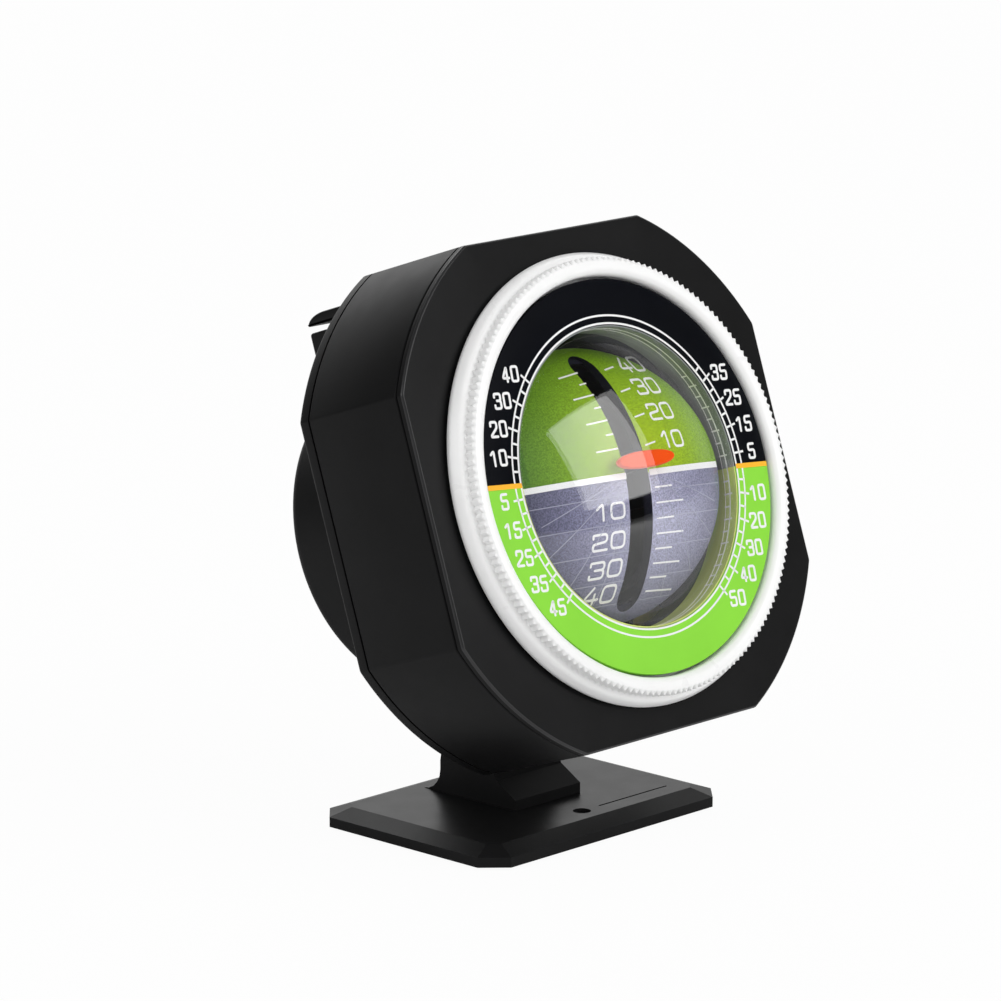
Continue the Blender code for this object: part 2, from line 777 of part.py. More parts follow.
def dial_cap(bm, radius, rings, shell):
    """A round patch of the curved surface: returns its outer loop."""
    centre = bm.verts.new((0, dial_level(0, 0, shell), 0))
    previous = None
    for ring in range(1, rings + 1):
        loop = []
        for k in range(round_steps):
            t = math.tau * k / round_steps
            x = radius * ring / rings * math.cos(t)
            z = radius * ring / rings * math.sin(t)
            loop.append(bm.verts.new((x, dial_level(x, z, shell), z)))
        for k in range(round_steps):
            n = (k + 1) % round_steps
            if previous is None:
                bm.faces.new((centre, loop[k], loop[n]))
            else:
                bm.faces.new((previous[k], loop[k], loop[n], previous[n]))
        previous = loop
    return previous


def wall_between(bm, first, second):
    for k in range(len(first)):
        n = (k + 1) % len(first)
        bm.faces.new((first[k], first[n], second[n], second[k]))


bm = bmesh.new()
cap_rings = 6
front = dial_cap(bm, dial_radius, cap_rings, 0.0)
hollow = dial_cap(bm, dial_radius - dial_rim, cap_rings // 2, dial_shell)
rim_outer, rim_inner = [], []
for k in range(round_steps):
    t = math.tau * k / round_steps
    for radius, loop in ((dial_radius, rim_outer), (dial_radius - dial_rim, rim_inner)):
        loop.append(bm.verts.new((radius * math.cos(t), dial_rim_back, radius * math.sin(t))))
wall_between(bm, front, rim_outer)
wall_between(bm, rim_outer, rim_inner)
wall_between(bm, rim_inner, hollow)
inner_dial = new_object("inner_dial", bm, roll_axis, GREEN)
slot_half_x = 1.5 * MM
slot_step = 1.0 * MM
slot_half_z = dial_radius - slot_step
straight = slot_half_z - slot_half_x
slot_outline = arc((0, straight), slot_half_x, 0, 180, 8)
slot_outline += arc((0, -straight), slot_half_x, 180, 360, 8)
cut(inner_dial, prism_mesh(slot_outline, -2 * dial_proud_apex, case_depth, "Y"))
dial_screw_share = 0.65493
dial_screw_at = dial_radius * dial_screw_share
dial_screw_radius = 0.5 * MM
dial_screw_deep = 2.2 * MM
for side in (-1, 1):
    hole = [
        (0, dial_screw_deep),
        (dial_screw_radius + pin_gap, dial_screw_deep),
        (dial_screw_radius + pin_gap, case_depth),
        (0, case_depth),
    ]
    hole_mesh = turned_mesh(hole, screw_steps, "Y", (side * dial_screw_at, -dial_screw_at))
    cut(inner_dial, hole_mesh)
smooth(inner_dial)

# The roll frame: a ring behind the dial, two arms, a crossbar above the axis and the hub
carrier_thick = 1.6 * MM
carrier_front = dial_rim_back + seat_gap
carrier_back = carrier_front + carrier_thick
carrier_step = 0.2 * MM
carrier_width = 2.4 * MM
carrier_outer = dial_radius - carrier_step
carrier_inner = carrier_outer - carrier_width
arm_step = 1.0 * MM
arm_thick = 1.8 * MM
arm_outer = dial_radius - arm_step
arm_inner = arm_outer - arm_thick
arm_low = -2.6 * MM
arm_high = 3.4 * MM
crossbar_low = 0.6 * MM
crossbar_thick = 1.8 * MM
crossbar_back = hub_front + crossbar_thick
hub_radius = 4.2 * MM
hub_before_back = 3.2 * MM
hub_back = can_back - hub_before_back
bush_outer = 2.4 * MM
roll_frame = new_object(
    "roll_frame",
    collar_mesh(carrier_inner, carrier_outer, carrier_front, carrier_back, round_steps, "Y"),
    roll_axis,
    BLACK,
)
for side in (-1, 1):
    near, far = side * arm_inner, side * arm_outer
    low = (min(near, far), carrier_back - overlap, arm_low)
    high = (max(near, far), crossbar_back, arm_high)
    join(roll_frame, box_mesh(low, high))
join(roll_frame, box_mesh(
    (-arm_outer + overlap, hub_front, crossbar_low),
    (arm_outer - overlap, crossbar_back - overlap, arm_high - overlap),
))
hub_profile = [(0, hub_front + 0.5 * overlap), (hub_radius, hub_front + 0.5 * overlap)]
hub_profile += [(hub_radius, hub_back), (0, hub_back)]
join(roll_frame, turned_mesh(hub_profile, round_steps, "Y"))

# The roll weight hangs plumb, so its tab on the frame is turned back by the roll at rest
hang = Matrix.Rotation(-roll_at_rest, 4, "Y")
tab_half = 3.0 * MM
tab_step = 1.0 * MM
tab_reach = weight_outer - tab_step
tab_mesh = box_mesh(
    (-tab_half, carrier_front + 0.5 * overlap, -tab_reach),
    (tab_half, carrier_back - 0.5 * overlap, -carrier_inner - overlap),
)
bmesh.ops.transform(tab_mesh, matrix=hang, verts=tab_mesh.verts)
join(roll_frame, tab_mesh)
cut(roll_frame, turned_mesh(
    [(0, 0), (bush_outer + pin_gap, 0), (bush_outer + pin_gap, can_back), (0, can_back)],
    small_steps,
    "Y",
))
cut(roll_frame, turned_mesh(
    [(0, -case_half), (hole_radius, -case_half), (hole_radius, case_half), (0, case_half)],
    small_steps,
    "X",
    (pitch_y, 0),
))
for side in (-1, 1):
    through = [(0, 0), (screw_hole, 0), (screw_hole, hub_front), (0, hub_front)]
    through_mesh = turned_mesh(through, screw_steps, "Y", (side * dial_screw_at, -dial_screw_at))
    cut(roll_frame, through_mesh)
for side, name in ((-1, "dial_screw_left"), (1, "dial_screw_right")):
    dial_screw_head = 1.0 * MM
    dial_screw_top = carrier_back + 0.5 * seat_gap
    profile = [
        (0, dial_screw_deep + seat_gap),
        (dial_screw_radius, dial_screw_deep + seat_gap),
        (dial_screw_radius, dial_screw_top),
        (dial_screw_head, dial_screw_top),
        (dial_screw_head, dial_screw_top + dial_screw_radius),
        (0, dial_screw_top + dial_screw_radius),
    ]
    screw_mesh = turned_mesh(profile, screw_steps, "Y", (side * dial_screw_at, -dial_screw_at))
    smooth(new_object(name, screw_mesh, roll_axis, STEEL))
bush_mesh = collar_mesh(
    axle_radius + running_gap, bush_outer, hub_front, hub_back + 0.2 * MM, small_steps, "Y"
)
bearing_bush = smooth(new_object("bearing_bush", bush_mesh, roll_axis, BRASS))

weight_turn = math.degrees(weight_half_angle)
weight_trim = 0.27
weight_middle = -90 + weight_trim
weight_arc_steps = 12
outline = arc((0, 0), weight_outer, weight_middle - weight_turn, weight_middle + weight_turn, weight_arc_steps)
outline += arc((0, 0), weight_inner, weight_middle + weight_turn, weight_middle - weight_turn, weight_arc_steps)
weight_mesh = prism_mesh(outline, weight_front, weight_back, "Y")
bmesh.ops.transform(weight_mesh, matrix=hang, verts=weight_mesh.verts)
roll_weight = new_object("roll_weight", weight_mesh, roll_axis, BRASS)
weight_screw_step = 1.8 * MM
weight_screw_z = -weight_inner - weight_screw_step
weight_screw_reach = 4.0 * MM
screw_spot = hang @ Vector((0, 0, weight_screw_z))
weight_hole = [
    (0, 0),
    (screw_hole, 0),
    (screw_hole, weight_front + weight_screw_reach + seat_gap),
    (0, weight_front + weight_screw_reach + seat_gap),
]
for thing in (roll_frame, roll_weight):
    cut(thing, turned_mesh(weight_hole, screw_steps, "Y", (screw_spot.x, screw_spot.z)))
weight_screw_head = carrier_front - 0.5 * seat_gap
screw_profile = [
    (0, weight_screw_head - head_thick),
    (head_radius, weight_screw_head - head_thick),
    (head_radius, weight_screw_head),
    (screw_radius, weight_screw_head),
    (screw_radius, weight_front + weight_screw_reach),
    (0, weight_front + weight_screw_reach),
]
screw_mesh = turned_mesh(screw_profile, screw_steps, "Y", (screw_spot.x, screw_spot.z))
weight_screw = smooth(new_object("weight_screw", screw_mesh, roll_axis, STEEL))
pitch_pin_end = arm_outer + 0.5 * seat_gap
pitch_pin_profile = [(0, -pitch_pin_end), (pin_radius, -pitch_pin_end)]
pitch_pin_profile += [(pin_radius, pitch_pin_end), (0, pitch_pin_end)]
pitch_pin_mesh = turned_mesh(pitch_pin_profile, small_steps, "X", (pitch_y, 0))
pitch_pin = smooth(new_object("pitch_pin", pitch_pin_mesh, roll_axis, STEEL))

# The pitch pendulum, drawn round its pin: a hub tube, an arm to the front and two weighted legs
pitch_hub_radius = 1.9 * MM
pitch_arm_half_x = 0.6 * MM
pitch_arm_half_z = 0.8 * MM
pointer_gap = 1.0 * MM
pointer_inner = dial_radius_tall + pointer_gap
pointer_thick = 0.9 * MM
leg_spread_share = 0.30994
leg_thick = 1.2 * MM
leg_inner = can_radius * leg_spread_share
leg_outer = leg_inner + leg_thick
leg_half = 1.1 * MM
hub_end_step = 0.4 * MM
pitch_hub_half = leg_outer + hub_end_step
leg_share = 0.45614
leg_length = can_radius * leg_share
stub_radius = 0.8 * MM
disc_inner = leg_outer + seat_gap
disc_thick = 2.9 * MM
disc_share = 0.15205
disc_radius = can_radius * disc_share
pitch_trim = 4.72
leg_turn = lean_back + pitch_at_rest + math.radians(pitch_trim)
hub_tube = [(0, -pitch_hub_half), (pitch_hub_radius, -pitch_hub_half)]
hub_tube += [(pitch_hub_radius, pitch_hub_half), (0, pitch_hub_half)]
pitch_arm = new_object("pitch_arm", turned_mesh(hub_tube, small_steps, "X"), pitch_axis, BLACK)
join(pitch_arm, box_mesh(
    (-pitch_arm_half_x, -pointer_inner + seat_gap, -pitch_arm_half_z),
    (pitch_arm_half_x, 0, pitch_arm_half_z),
))
leg_end = (leg_length * math.sin(leg_turn), -leg_length * math.cos(leg_turn))
across = (leg_half * math.cos(leg_turn), leg_half * math.sin(leg_turn))
leg_profile = [
    (across[0], across[1]),
    (leg_end[0] + across[0], leg_end[1] + across[1]),
    (leg_end[0] - across[0], leg_end[1] - across[1]),
    (-across[0], -across[1]),
]
stub_end = disc_inner + disc_thick + seat_gap
leg_inset = 0.1 * MM
foot_radius = 1.4 * MM
for side in (-1, 1):
    near, far = side * leg_inner, side * leg_outer
    low, high = sorted((near + side * leg_inset, far - side * leg_inset))
    join(pitch_arm, prism_mesh(leg_profile, low, high, "X"))
    foot_profile = [(0, near), (foot_radius, near), (foot_radius, far), (stub_radius, far)]
    foot_profile += [(stub_radius, side * stub_end), (0, side * stub_end)]
    join(pitch_arm, turned_mesh(foot_profile, small_steps, "X", leg_end))
cut(pitch_arm, turned_mesh(
    [
        (0, -case_half),
        (pin_radius + running_gap, -case_half),
        (pin_radius + running_gap, case_half),
        (0, case_half),
    ],
    small_steps,
    "X",
))
for side, name in ((-1, "pitch_weight_left"), (1, "pitch_weight_right")):
    near, far = side * disc_inner, side * (disc_inner + disc_thick)
    disc_mesh = collar_mesh(
        stub_radius + pin_gap, disc_radius, min(near, far), max(near, far), small_steps, "X", leg_end
    )
    smooth(new_object(name, disc_mesh, pitch_axis, BRASS))
pointer_half_x = 4.1 * MM
pointer_half_z = 1.0 * MM
pointer_straight = pointer_half_x - pointer_half_z
pointer_outline = arc((pointer_straight, 0), pointer_half_z, -90, 90, 8)
pointer_outline += arc((-pointer_straight, 0), pointer_half_z, 90, 270, 8)
pointer_mesh = prism_mesh(pointer_outline, -pointer_inner - pointer_thick, -pointer_inner, "Y")
pointer = new_object("pointer", pointer_mesh, pitch_axis, ORANGE)

bpy.context.view_layer.update()
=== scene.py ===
# %% [markdown]
# A dashboard inclinometer. A small foot is stuck to the dashboard, and a black case leans back on it.
# Its front carries a white toothed ring that a driver turns by hand, a printed scale and a clear dome.
# Behind the dome hangs a two-colour dial that shows roll, and an orange pointer that shows pitch.
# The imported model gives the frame: every piece below is drawn over it and rides on one of its bodies.

# %% Load the frame
import json
import math

import bmesh
import bpy
from mathutils import Matrix, Vector


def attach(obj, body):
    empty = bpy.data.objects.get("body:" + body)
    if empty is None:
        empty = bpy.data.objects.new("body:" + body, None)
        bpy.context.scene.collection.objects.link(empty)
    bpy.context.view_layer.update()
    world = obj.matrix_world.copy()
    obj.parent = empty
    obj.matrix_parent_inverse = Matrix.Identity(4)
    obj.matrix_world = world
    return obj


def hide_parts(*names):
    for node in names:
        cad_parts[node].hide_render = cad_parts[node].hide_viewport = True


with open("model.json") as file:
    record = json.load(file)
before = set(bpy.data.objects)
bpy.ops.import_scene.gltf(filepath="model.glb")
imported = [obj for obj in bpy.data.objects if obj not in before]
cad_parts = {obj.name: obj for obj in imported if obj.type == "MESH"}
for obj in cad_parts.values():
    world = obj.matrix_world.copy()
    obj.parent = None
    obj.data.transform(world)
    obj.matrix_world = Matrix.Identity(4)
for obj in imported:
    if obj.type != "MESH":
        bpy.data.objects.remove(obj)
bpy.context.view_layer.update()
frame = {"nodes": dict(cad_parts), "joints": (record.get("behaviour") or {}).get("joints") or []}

# %% [markdown]
# Everything is drawn in the frame that a maker would measure it in, and only then put in its place.
# The case leans back, the ring is turned a little on it, and the dial and the pointer hang as gravity
# wants. Points could be worked out by hand in the world's frame, but nested matrices say the same thing
# in a few short lines, and each angle is written once.

# %% Frames of the pieces
MM = 0.001
lean_back = math.radians(18.9)
ring_turn = math.radians(5.4)
roll_at_rest = math.radians(3.2)
pitch_at_rest = math.radians(3.7)
pin_depth = 14.5 * MM
hinge_spot = Vector((0, 3.3, 10.0))
foot_place = Matrix.Identity(4)
case_place = Matrix.Translation((0, -12.7 * MM, 37.7 * MM)) @ Matrix.Rotation(-lean_back, 4, "X")
ring_place = case_place @ Matrix.Rotation(ring_turn, 4, "Y")
dial_place = case_place @ Matrix.Rotation(roll_at_rest, 4, "Y")
pin_place = dial_place @ Matrix.Translation((0, pin_depth, 0)) @ Matrix.Rotation(-pitch_at_rest, 4, "X")

PLACES = {
    "foot": foot_place, "case": case_place, "ring": ring_place, "roll_pendulum": dial_place,
    "pitch_pendulum": pin_place,
}

for joint in frame["joints"]:
    print(joint["name"], "turns", joint["child"], "at", [round(c * 1000, 2) for c in joint["pos_m"]])

# %% [markdown]
# A mesh is a list of corners and the faces between them. Nearly every piece here is a row of outlines
# joined up like the hoops of a barrel, so one helper that skins outlines does most of the work.
# Turned pieces are the same thing with circles. Sharp corners are first eased into small curves, because
# a moulded edge always catches a thin line of light. A bevel modifier could do that too, but here each
# corner can have its own radius. Meshes are drawn in millimetres, and piece() brings them to metres.

# %% Helpers that draw meshes
SMALL = 1e-4
ALONG = {
    "X": lambda u, v, w: (w, u, v),
    "Y": lambda u, v, w: (u, w, v),
    "Z": lambda u, v, w: (u, v, w),
}


def eased(points, radius, steps=4, closed=True):
    """Replaces each corner of a polyline by a small curve. A point may carry its own radius."""
    result = []
    count = len(points)
    for k, point in enumerate(points):
        own = point[2] if len(point) > 2 else radius
        here = Vector(point[:2])
        if not closed and k in (0, count - 1) or own <= 0:
            result.append(tuple(here))
            continue
        before = Vector(points[k - 1][:2]) - here
        after = Vector(points[(k + 1) % count][:2]) - here
        reach = min(own, before.length * 0.49, after.length * 0.49)
        start, end = here + before.normalized() * reach, here + after.normalized() * reach
        for j in range(steps + 1):
            t = j / steps
            result.append(tuple(start * (1 - t) ** 2 + here * 2 * t * (1 - t) + end * t**2))
    return result


def skin(bm, loops, ring=False):
    """Faces between neighbouring loops of equal length. With ring, the last meets the first."""
    pairs = list(zip(loops, loops[1:]))
    if ring:
        pairs.append((loops[-1], loops[0]))
    for low, high in pairs:
        count = len(low)
        for k in range(count):
            n = (k + 1) % count
            corners = []
            for vert in (low[k], low[n], high[n], high[k]):
                if vert not in corners:
                    corners.append(vert)
            if len(corners) > 2:
                bm.faces.new(corners)


def stacked(sections, axis="Y", ring=False):
    """A body through outlines, each with its level. With ring, it is a closed hoop with a hole."""
    bm = bmesh.new()
    place = ALONG[axis]
    loops = []
    for outline, level in sections:
        loops.append([bm.verts.new(place(u, v, level)) for u, v in outline])
    skin(bm, loops, ring)
    if not ring:
        bm.faces.new(loops[0])
        bm.faces.new(loops[-1])
    return bm


def turned(profile, steps=128, axis="Y", centre=(0.0, 0.0)):
    """Turns a closed profile of (radius, level) points on a lathe."""
    bm = bmesh.new()
    place = ALONG[axis]
    loops = []
    for radius, level in profile:
        if radius < SMALL:
            pole = bm.verts.new(place(centre[0], centre[1], level))
            loops.append([pole] * steps)
            continue
        circle = [circle_point(centre, radius, 360 * k / steps) for k in range(steps)]
        loops.append([bm.verts.new(place(u, v, level)) for u, v in circle])
    skin(bm, loops, ring=profile[0][0] > SMALL or profile[-1][0] > SMALL)
    return bm


def rod(radius, low, high, steps=128, axis="Y", centre=(0.0, 0.0)):
    """A plain round bar, mostly to drill with."""
    return turned([(0.0, low), (radius, low), (radius, high), (0.0, high)], steps, axis, centre)


def extruded(outline, low, high, axis="X", ease=0.0, ease_steps=3):
    """A flat outline pulled along an axis. ease rounds its two rims."""
    if ease <= 0:
        return stacked([(outline, low), (outline, high)], axis)
    rims = []
    for k in range(ease_steps + 1):
        t = math.pi / 2 * k / ease_steps
        rims.append((inset_outline(outline, ease * (1 - math.sin(t))), ease * (1 - math.cos(t))))
    sections = [(rim, low + rise) for rim, rise in rims]
    sections += [(rim, high - rise) for rim, rise in reversed(rims)]
    return stacked(sections, axis)


def inset_outline(outline, distance):
    """Moves each side of a closed outline inwards by a distance."""
    if distance <= 0:
        return list(outline)
    count = len(outline)
    ahead = outline[1:] + outline[:1]
    area = sum(x0 * y1 - x1 * y0 for (x0, y0), (x1, y1) in zip(outline, ahead))
    side = 1 if area > 0 else -1
    moved = []
    for k in range(count):
        here = Vector(outline[k])
        a = (here - Vector(outline[k - 1])).normalized()
        b = (Vector(ahead[k]) - here).normalized()
        normal_a, normal_b = Vector((-a.y, a.x)) * side, Vector((-b.y, b.x)) * side
        bisector = (normal_a + normal_b).normalized()
        moved.append(tuple(here + bisector * distance / max(0.35, bisector.dot(normal_a))))
    return moved


def rectangle(u, v, far_u=None, far_v=None):
    """Corners from one corner to the far one, which by default is opposite about zero."""
    far_u = -u if far_u is None else far_u
    far_v = -v if far_v is None else far_v
    return [(u, v), (far_u, v), (far_u, far_v), (u, far_v)]


def circle_point(centre, radius, degrees):
    t = math.radians(degrees)
    return (centre[0] + radius * math.cos(t), centre[1] + radius * math.sin(t))


def arc(centre, radius, start, end, steps):
    """Points on an arc, angles in degrees."""
    return [circle_point(centre, radius, start + (end - start) * k / steps) for k in range(steps + 1)]


def box_body(low, high, ease=0.0):
    """A block between two corners, with eased edges along its height."""
    corners = rectangle(*low[:2], *high[:2])
    if ease > 0:
        corners = eased(corners, ease)
    return extruded(corners, low[2], high[2], "Z", ease)


pieces_made = {}


def piece(name, bm, body, materials, replaces=(), crease=35):
    """Puts a finished mesh in its place, on its body, with its finish."""
    bmesh.ops.scale(bm, vec=(MM, MM, MM), verts=bm.verts)
    bmesh.ops.remove_doubles(bm, verts=bm.verts, dist=1e-8)
    bmesh.ops.recalc_face_normals(bm, faces=bm.faces)
    mesh = bpy.data.meshes.new(name)
    bm.to_mesh(mesh)
    bm.free()
    thing = bpy.data.objects.new(name, mesh)
    bpy.context.scene.collection.objects.link(thing)
    if not isinstance(materials, (list, tuple)):
        materials = [materials]
    for material in materials:
        mesh.materials.append(material)
    mesh.shade_smooth()
    mesh.set_sharp_from_angle(angle=math.radians(crease))
    thing.matrix_world = PLACES[body]
    bpy.context.view_layer.update()
    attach(thing, body)
    if replaces:
        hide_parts(*replaces)
    pieces_made[name] = thing
    return thing


def carve(bm, cutters, operation="DIFFERENCE"):
    """Cuts closed bodies from a mesh, or joins them to it, and gives the new mesh back."""
    def shown(body):
        bmesh.ops.recalc_face_normals(body, faces=body.faces)
        mesh = bpy.data.meshes.new("carving")
        body.to_mesh(mesh)
        body.free()
        thing = bpy.data.objects.new("carving", mesh)
        bpy.context.scene.collection.objects.link(thing)
        return thing

    blank = shown(bm)
    for cutter in cutters:
        tool = shown(cutter)
        step = blank.modifiers.new("step", "BOOLEAN")
        step.operation, step.solver, step.object = operation, "EXACT", tool
        bpy.context.view_layer.update()
        graph = bpy.context.evaluated_depsgraph_get()
        result = bpy.data.meshes.new_from_object(blank.evaluated_get(graph))
        blank.modifiers.remove(step)
        blank.data = result
        bpy.data.objects.remove(tool)
    carved = bmesh.new()
    carved.from_mesh(blank.data)
    bpy.data.objects.remove(blank)
    return carved
print("a piece can be drawn along:", sorted(ALONG))

# %% [markdown]
# Materials come next. A moulded part is never one flat colour: its skin has a fine grain from the mould,
# its gloss varies a little, and its colour drifts by a hair. A picture could give that, but it would need
# unwrapping. Noise textures in the piece's own coordinates need none, have no seams, and don't slide when
# a joint moves. The helpers below each add one node or one such effect.

# %% Helpers that mix materials
def plug(owner, value, socket):
    """Gives a socket a plain value or another node's output."""
    if isinstance(value, bpy.types.NodeSocket):
        owner.node_tree.links.new(value, socket)
    else:
        socket.default_value = value


def node(owner, kind, feed=(), **settings):
    """Adds a node with its settings, and feeds its inputs."""
    made = owner.node_tree.nodes.new(kind)
    for key, value in settings.items():
        setattr(made, key, value)
    for key, value in dict(feed).items():
        plug(owner, value, made.inputs[key])
    return made


def computed(owner, operation, first, second):
    return node(owner, "ShaderNodeMath", {0: first, 1: second}, operation=operation).outputs["Value"]


def shader_of(material):
    return material.node_tree.nodes["Principled BSDF"]


def shade(material, feed):
    """Feeds the material's Principled shader."""
    for key, value in feed.items():
        plug(material, value, shader_of(material).inputs[key])


def show_mix(material, factor, first, second):
    """Shows two shaders mixed."""
    mixed = node(material, "ShaderNodeMixShader", {"Fac": factor, 1: first, 2: second})
    plug(material, mixed.outputs["Shader"], material.node_tree.nodes["Material Output"].inputs["Surface"])


def finish(name, colour, roughness, metallic=0.0, specular=0.5):
    """A Principled material to build on."""
    material = bpy.data.materials.new(name)
    material.use_nodes = True
    material.diffuse_color = (*colour, 1.0)
    shade(material, {
        "Base Color": (*colour, 1.0), "Roughness": roughness, "Metallic": metallic,
        "Specular IOR Level": specular,
    })
    return material


def own_space(material):
    """The piece's own coordinates, made once for each material."""
    for existing in material.node_tree.nodes:
        if existing.type == "TEX_COORD":
            return existing.outputs["Object"]
    return node(material, "ShaderNodeTexCoord").outputs["Object"]


def noise(material, grain, detail=2.0, roughness=0.5, stretch=None):
    """Noise whose lumps are about grain millimetres across."""
    source = own_space(material)
    if stretch is not None:
        source = node(material, "ShaderNodeMapping", {"Vector": source, "Scale": stretch}).outputs["Vector"]
    feed = {"Vector": source, "Scale": 1.0 / (grain * MM), "Detail": detail, "Roughness": roughness}
    return node(material, "ShaderNodeTexNoise", feed).outputs["Fac"]


def between(material, factor, low, high):
    """A colour that runs from low to high as the factor rises."""
    ramp = node(material, "ShaderNodeValToRGB", {"Fac": factor})
    for stop, position, colour in zip(ramp.color_ramp.elements, (0.35, 0.65), (low, high)):
        stop.position = position
        stop.color = (*colour, 1.0)
    return ramp.outputs["Color"]


def gloss_between(material, factor, low, high):
    """Roughness that varies from low to high."""
    feed = {"Value": factor, "From Min": 0.3, "From Max": 0.7, "To Min": low, "To Max": high}
    shade(material, {"Roughness": node(material, "ShaderNodeMapRange", feed).outputs["Result"]})


def grain(material, factor, depth):
    """A bump of that depth in millimetres."""
    bump = node(material, "ShaderNodeBump", {"Height": factor, "Distance": depth * MM, "Strength": 1.0})
    shade(material, {"Normal": bump.outputs["Normal"]})


def moulded(name, colour, drift, roughness, gloss_drift, grain_size, grain_depth, specular=0.5):
    """A moulded plastic: colour drift, gloss drift and mould grain."""
    material = finish(name, colour, roughness, specular=specular)
    low = tuple(max(0.0, c * (1 - drift)) for c in colour)
    high = tuple(min(1.0, c * (1 + drift)) for c in colour)
    shade(material, {"Base Color": between(material, noise(material, 9.0, detail=3.0), low, high)})
    gloss_between(material, noise(material, 3.0), roughness - gloss_drift, roughness + gloss_drift)
    grain(material, noise(material, grain_size, detail=2.0, roughness=0.6), grain_depth)
    return material
print("helpers for materials are ready")

# %% [markdown]
# The finishes of this object: black plastic with a fine spark-eroded grain, a milky white for the ring,
# printed inks, and foam for the pad. All are moulded or printed, so one function makes them, and each
# line gives a colour, how far it drifts, the gloss, and the size and depth of the grain. The white also
# lets a little light through, as thin white plastic does.

# %% Finishes
def inked(name, colour, drift=0.03):
    return moulded(name, colour, drift, 0.5, 0.05, 0.2, 0.001)


black_plastic = moulded("black_plastic", (0.0065, 0.0065, 0.0068), 0.12, 0.42, 0.02, 0.16, 0.005, 0.13)
# A lighter, glossier black for the rolled edge of the front plate; the lighter colour is a painted
# highlight.
highlight_edge_black = moulded("highlight_edge_black", (0.022, 0.022, 0.023), 0.12, 0.3, 0.02, 0.16, 0.003, 0.45)
foot_black = moulded("foot_black", (0.0115, 0.0115, 0.0118), 0.12, 0.34, 0.02, 0.16, 0.004, 0.07)
# inner_black is the works' own black. On the dial's walls and on the liner's back it also stands as painted
# shade.
inner_black = moulded("inner_black", (0.023, 0.023, 0.042), 0.2, 0.6, 0.05, 0.2, 0.006, 0.1)
white_plastic = moulded("white_plastic", (0.93, 0.93, 0.925), 0.015, 0.30, 0.03, 0.5, 0.003)
shade(white_plastic, {
    "Subsurface Weight": 0.35, "Subsurface Radius": (1.0, 1.0, 1.0), "Subsurface Scale": 0.8 * MM,
})
pointer_orange = moulded("pointer_orange", (1.0, 0.085, 0.0), 0.05, 0.38, 0.05, 0.3, 0.003, 0.12)
ink_white = inked("ink_white", (0.86, 0.86, 0.86))
ink_bright = inked("ink_bright", (0.96, 0.96, 0.97))
ink_amber = inked("ink_amber", (1.0, 0.46, 0.0), 0.04)
ink_faint = inked("ink_faint", (0.40, 0.41, 0.52), 0.05)
pad_foam = moulded("pad_foam", (0.07, 0.07, 0.075), 0.3, 0.9, 0.05, 0.25, 0.05, 0.2)
print("finishes so far:", len(bpy.data.materials))

# %% [markdown]
# Steel and brass pieces are turned on a lathe. The tool leaves rings too fine to see one by one, but
# they stretch the highlights. They could be modelled, but a noise squeezed along the turning axis gives
# that look without any extra faces.

# %% Metal finishes
def machined(name, colour, roughness):
    material = finish(name, colour, roughness, metallic=1.0)
    scratches = noise(material, 0.5, detail=4.0, stretch=(1.0, 14.0, 1.0))
    low = tuple(c * 0.86 for c in colour)
    shade(material, {"Base Color": between(material, scratches, low, colour)})
    gloss_between(material, noise(material, 1.2), roughness - 0.06, roughness + 0.08)
    grain(material, scratches, 0.004)
    return material


steel = machined("steel", (0.56, 0.57, 0.59), 0.3)
brass = machined("brass", (0.70, 0.50, 0.22), 0.34)
print("metals:", steel.name, brass.name)

# %% [markdown]
# The scale in the ring is a flat printed disc. Its two halves are near-black and lime green. The ink is
# satin, with a very fine grain. One material with a step in its colour would do, but two plain ones on the
# same disc keep the border as crisp as the mesh.

# %% Printed dial finishes
dial_black = moulded("dial_black", (0.0026, 0.0032, 0.0052), 0.15, 0.42, 0.04, 0.25, 0.002, 0.04)
dial_lime = moulded("dial_lime", (0.262, 0.70, 0.052), 0.03, 0.45, 0.04, 0.25, 0.002, 0.12)
print("disc colours:", dial_black.name, dial_lime.name)

# %% [markdown]
# The inner dial's colour is green above, brighter in the middle and darker towards the rim, and a metallic
# grey-violet below. A ramp over the distance from a point near the middle draws the gradient, so it needs no
# image, and a tight noise adds the speckle that the print shows up close.

# %% Inner dial finishes
def shaded_print(name, shades, speckle, centre):
    """A colour with one shade at its centre, one half way out and one at the rim."""
    material = finish(name, shades[1], 0.45, specular=0.2)
    feed = {"Vector": own_space(material), "Location": (-centre[0] * MM, 0.0, -centre[1] * MM)}
    shift = node(material, "ShaderNodeMapping", feed, vector_type="POINT")
    feed = {0: shift.outputs["Vector"], 1: (1.0, 0.0, 1.0)}
    flat = node(material, "ShaderNodeVectorMath", feed, operation="MULTIPLY")
    length = node(material, "ShaderNodeVectorMath", {0: flat.outputs["Vector"]}, operation="LENGTH")
    feed = {"Value": length.outputs["Value"], "From Max": 16.0 * MM}
    share = node(material, "ShaderNodeMapRange", feed)
    ramp = node(material, "ShaderNodeValToRGB", {"Fac": share.outputs["Result"]})
    ramp.color_ramp.interpolation = "B_SPLINE"
    ramp.color_ramp.elements[0].position = 0.08
    ramp.color_ramp.elements[1].position = 0.98
    ramp.color_ramp.elements.new(0.55)
    for stop, colour in zip(ramp.color_ramp.elements, shades):
        stop.color = (*colour, 1.0)
    dots = between(material, noise(material, 0.16, detail=1.0), (1 - speckle,) * 3, (1 + speckle,) * 3)
    feed = {"Factor": 1.0, 6: ramp.outputs["Color"], 7: dots}
    tint = node(material, "ShaderNodeMix", feed, data_type="RGBA", blend_type="MULTIPLY")
    shade(material, {"Base Color": tint.outputs[2]})
    grain(material, noise(material, 0.2), 0.002)
    return material


